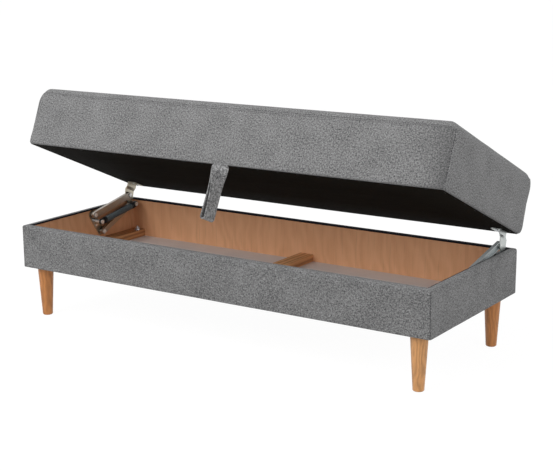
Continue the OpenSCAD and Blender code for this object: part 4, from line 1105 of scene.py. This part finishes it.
def make_stage(scene):
    """Pale floor, white surroundings, two soft lamps and the camera at the photograph's place."""
    studio = scene.bench_studio
    sky = Finish("Studio", "worlds")
    strength = sky.seen().spread(0.0, 1.0, studio.ambient, 1.0)
    light = sky.node("ShaderNodeBackground", None, {"Color": WHITE, "Strength": strength})
    scene.world = sky.end(light, "ShaderNodeOutputWorld")

    ground = Finish("Studio floor")
    grain = ground.noise(ground.place("Object"), 3, 2)
    cloth = ground.mix(grain.spread(0.3, 0.7), (0.53, 0.53, 0.53, 1), (0.57, 0.57, 0.57, 1))
    matt = ground.node("ShaderNodeBsdfDiffuse", None, {"Color": cloth})
    glow = ground.node("ShaderNodeEmission", None, {"Color": WHITE, "Strength": 1.12})
    both = ground.node("ShaderNodeMixShader", None, {0: ground.seen() * 0.85, 1: matt, 2: glow})
    far = 90
    mesh = bpy.data.meshes.new("floor")
    mesh.from_pydata([(-far, -far, 0), (far, -far, 0), (far, far, 0), (-far, far, 0)], [], [(0, 1, 2, 3)])
    mesh.materials.append(ground.end(both))
    floor = bpy.data.objects.new("floor", mesh)
    scene.collection.objects.link(floor)

    middle = Vector((0, 0, 0.35))
    for name, place, size, power in (("key", (-1.45, -3.75, 3.5), 3.4, studio.key),
                                     ("fill", (4.6, -1.2, 1.8), 2.6, studio.fill)):
        lamp = bpy.data.lights.new(name, "AREA")
        lamp.shape, lamp.size, lamp.energy = "SQUARE", size, power
        holder = bpy.data.objects.new(name, lamp)
        holder.location = place
        holder.rotation_euler = (middle - Vector(place)).to_track_quat("-Z", "Y").to_euler()
        scene.collection.objects.link(holder)

    yaw, pitch, roll = (math.radians(turn) for turn in (CAMERA_YAW, CAMERA_PITCH, CAMERA_ROLL))
    ahead = Vector((math.sin(yaw) * math.cos(pitch), math.cos(yaw) * math.cos(pitch), -math.sin(pitch)))
    right = Vector((math.cos(yaw), -math.sin(yaw), 0))
    up = right.cross(ahead)
    right, up = right * math.cos(roll) + up * math.sin(roll), up * math.cos(roll) - right * math.sin(roll)
    eye = bpy.data.cameras.new("camera")
    eye.sensor_width, eye.lens = SENSOR, FOCAL * SENSOR / PHOTO_W
    eye.clip_start, eye.clip_end = 0.1, 300
    camera = bpy.data.objects.new("camera", eye)
    camera.matrix_world = Matrix.Translation(CAMERA_PLACE) @ Matrix((right, up, -ahead)).transposed().to_4x4()
    scene.collection.objects.link(camera)
    scene.camera = camera
    scene.view_settings.view_transform = "Standard"


# Operators, in the order in which they run


def maker(suffix, label, words, work):
    """An operator class that runs one function on the scene."""
    def execute(self, context):
        work(context.scene)
        return {"FINISHED"}
    return type(f"BENCH_OT_{suffix}", (bpy.types.Operator,), {
        "__doc__": words, "bl_idname": f"bench.{suffix}", "bl_label": label, "execute": execute})


OPERATORS = [
    maker("stage", "Stage", "Sets up the floor, the light and the camera", make_stage),
    maker("finishes", "Finishes", "Gives the packed model's nodes their finishes", finish_nodes),
    maker("chest_fabric", "Chest fabric", "Makes the fabric round the chest and its rim", make_chest_fabric),
    maker("rim_tape", "Rim tape", "Makes the black tape on the rim", make_rim_tape),
    maker("lid", "Lid cushion", "Makes the lid's cushion with its seam and stitches", make_lid),
    maker("lining", "Lid lining", "Makes the lining under the lid, with its staples", make_lining),
    maker("pull_loop", "Pull loop", "Makes the pull loop and its stitches", make_pull_loop),
    maker("springs", "Springs", "Makes the two coil springs", make_springs),
]
GROUPS = {"bench_cloth": BenchCloth, "bench_lid": BenchLid, "bench_hinge": BenchHinge,
          "bench_wood": BenchWood, "bench_studio": BenchStudio}


class BENCH_PT_sidebar(bpy.types.Panel):
    """Sizes and colours of the bench, and a button for each group of its pieces"""
    bl_label = "Storage bench"
    bl_space_type = "VIEW_3D"
    bl_region_type = "UI"
    bl_category = "Bench"

    def draw(self, context):
        for group, kind in GROUPS.items():
            box = self.layout.box()
            box.label(text=kind.__name__)
            for name in kind.__annotations__:
                box.prop(getattr(context.scene, group), name)
        for operator in OPERATORS:
            self.layout.operator(operator.bl_idname)


def register():
    for kind in (*GROUPS.values(), *OPERATORS, BENCH_PT_sidebar):
        bpy.utils.register_class(kind)
    for name, kind in GROUPS.items():
        setattr(bpy.types.Scene, name, bpy.props.PointerProperty(type=kind))


def unregister():
    for name in GROUPS:
        delattr(bpy.types.Scene, name)
    for kind in reversed((*GROUPS.values(), *OPERATORS, BENCH_PT_sidebar)):
        bpy.utils.unregister_class(kind)


def main():
    register()
    for operator in OPERATORS:
        getattr(bpy.ops.bench, operator.bl_idname.split(".")[1])()


if __name__ == "__main__":
    main()
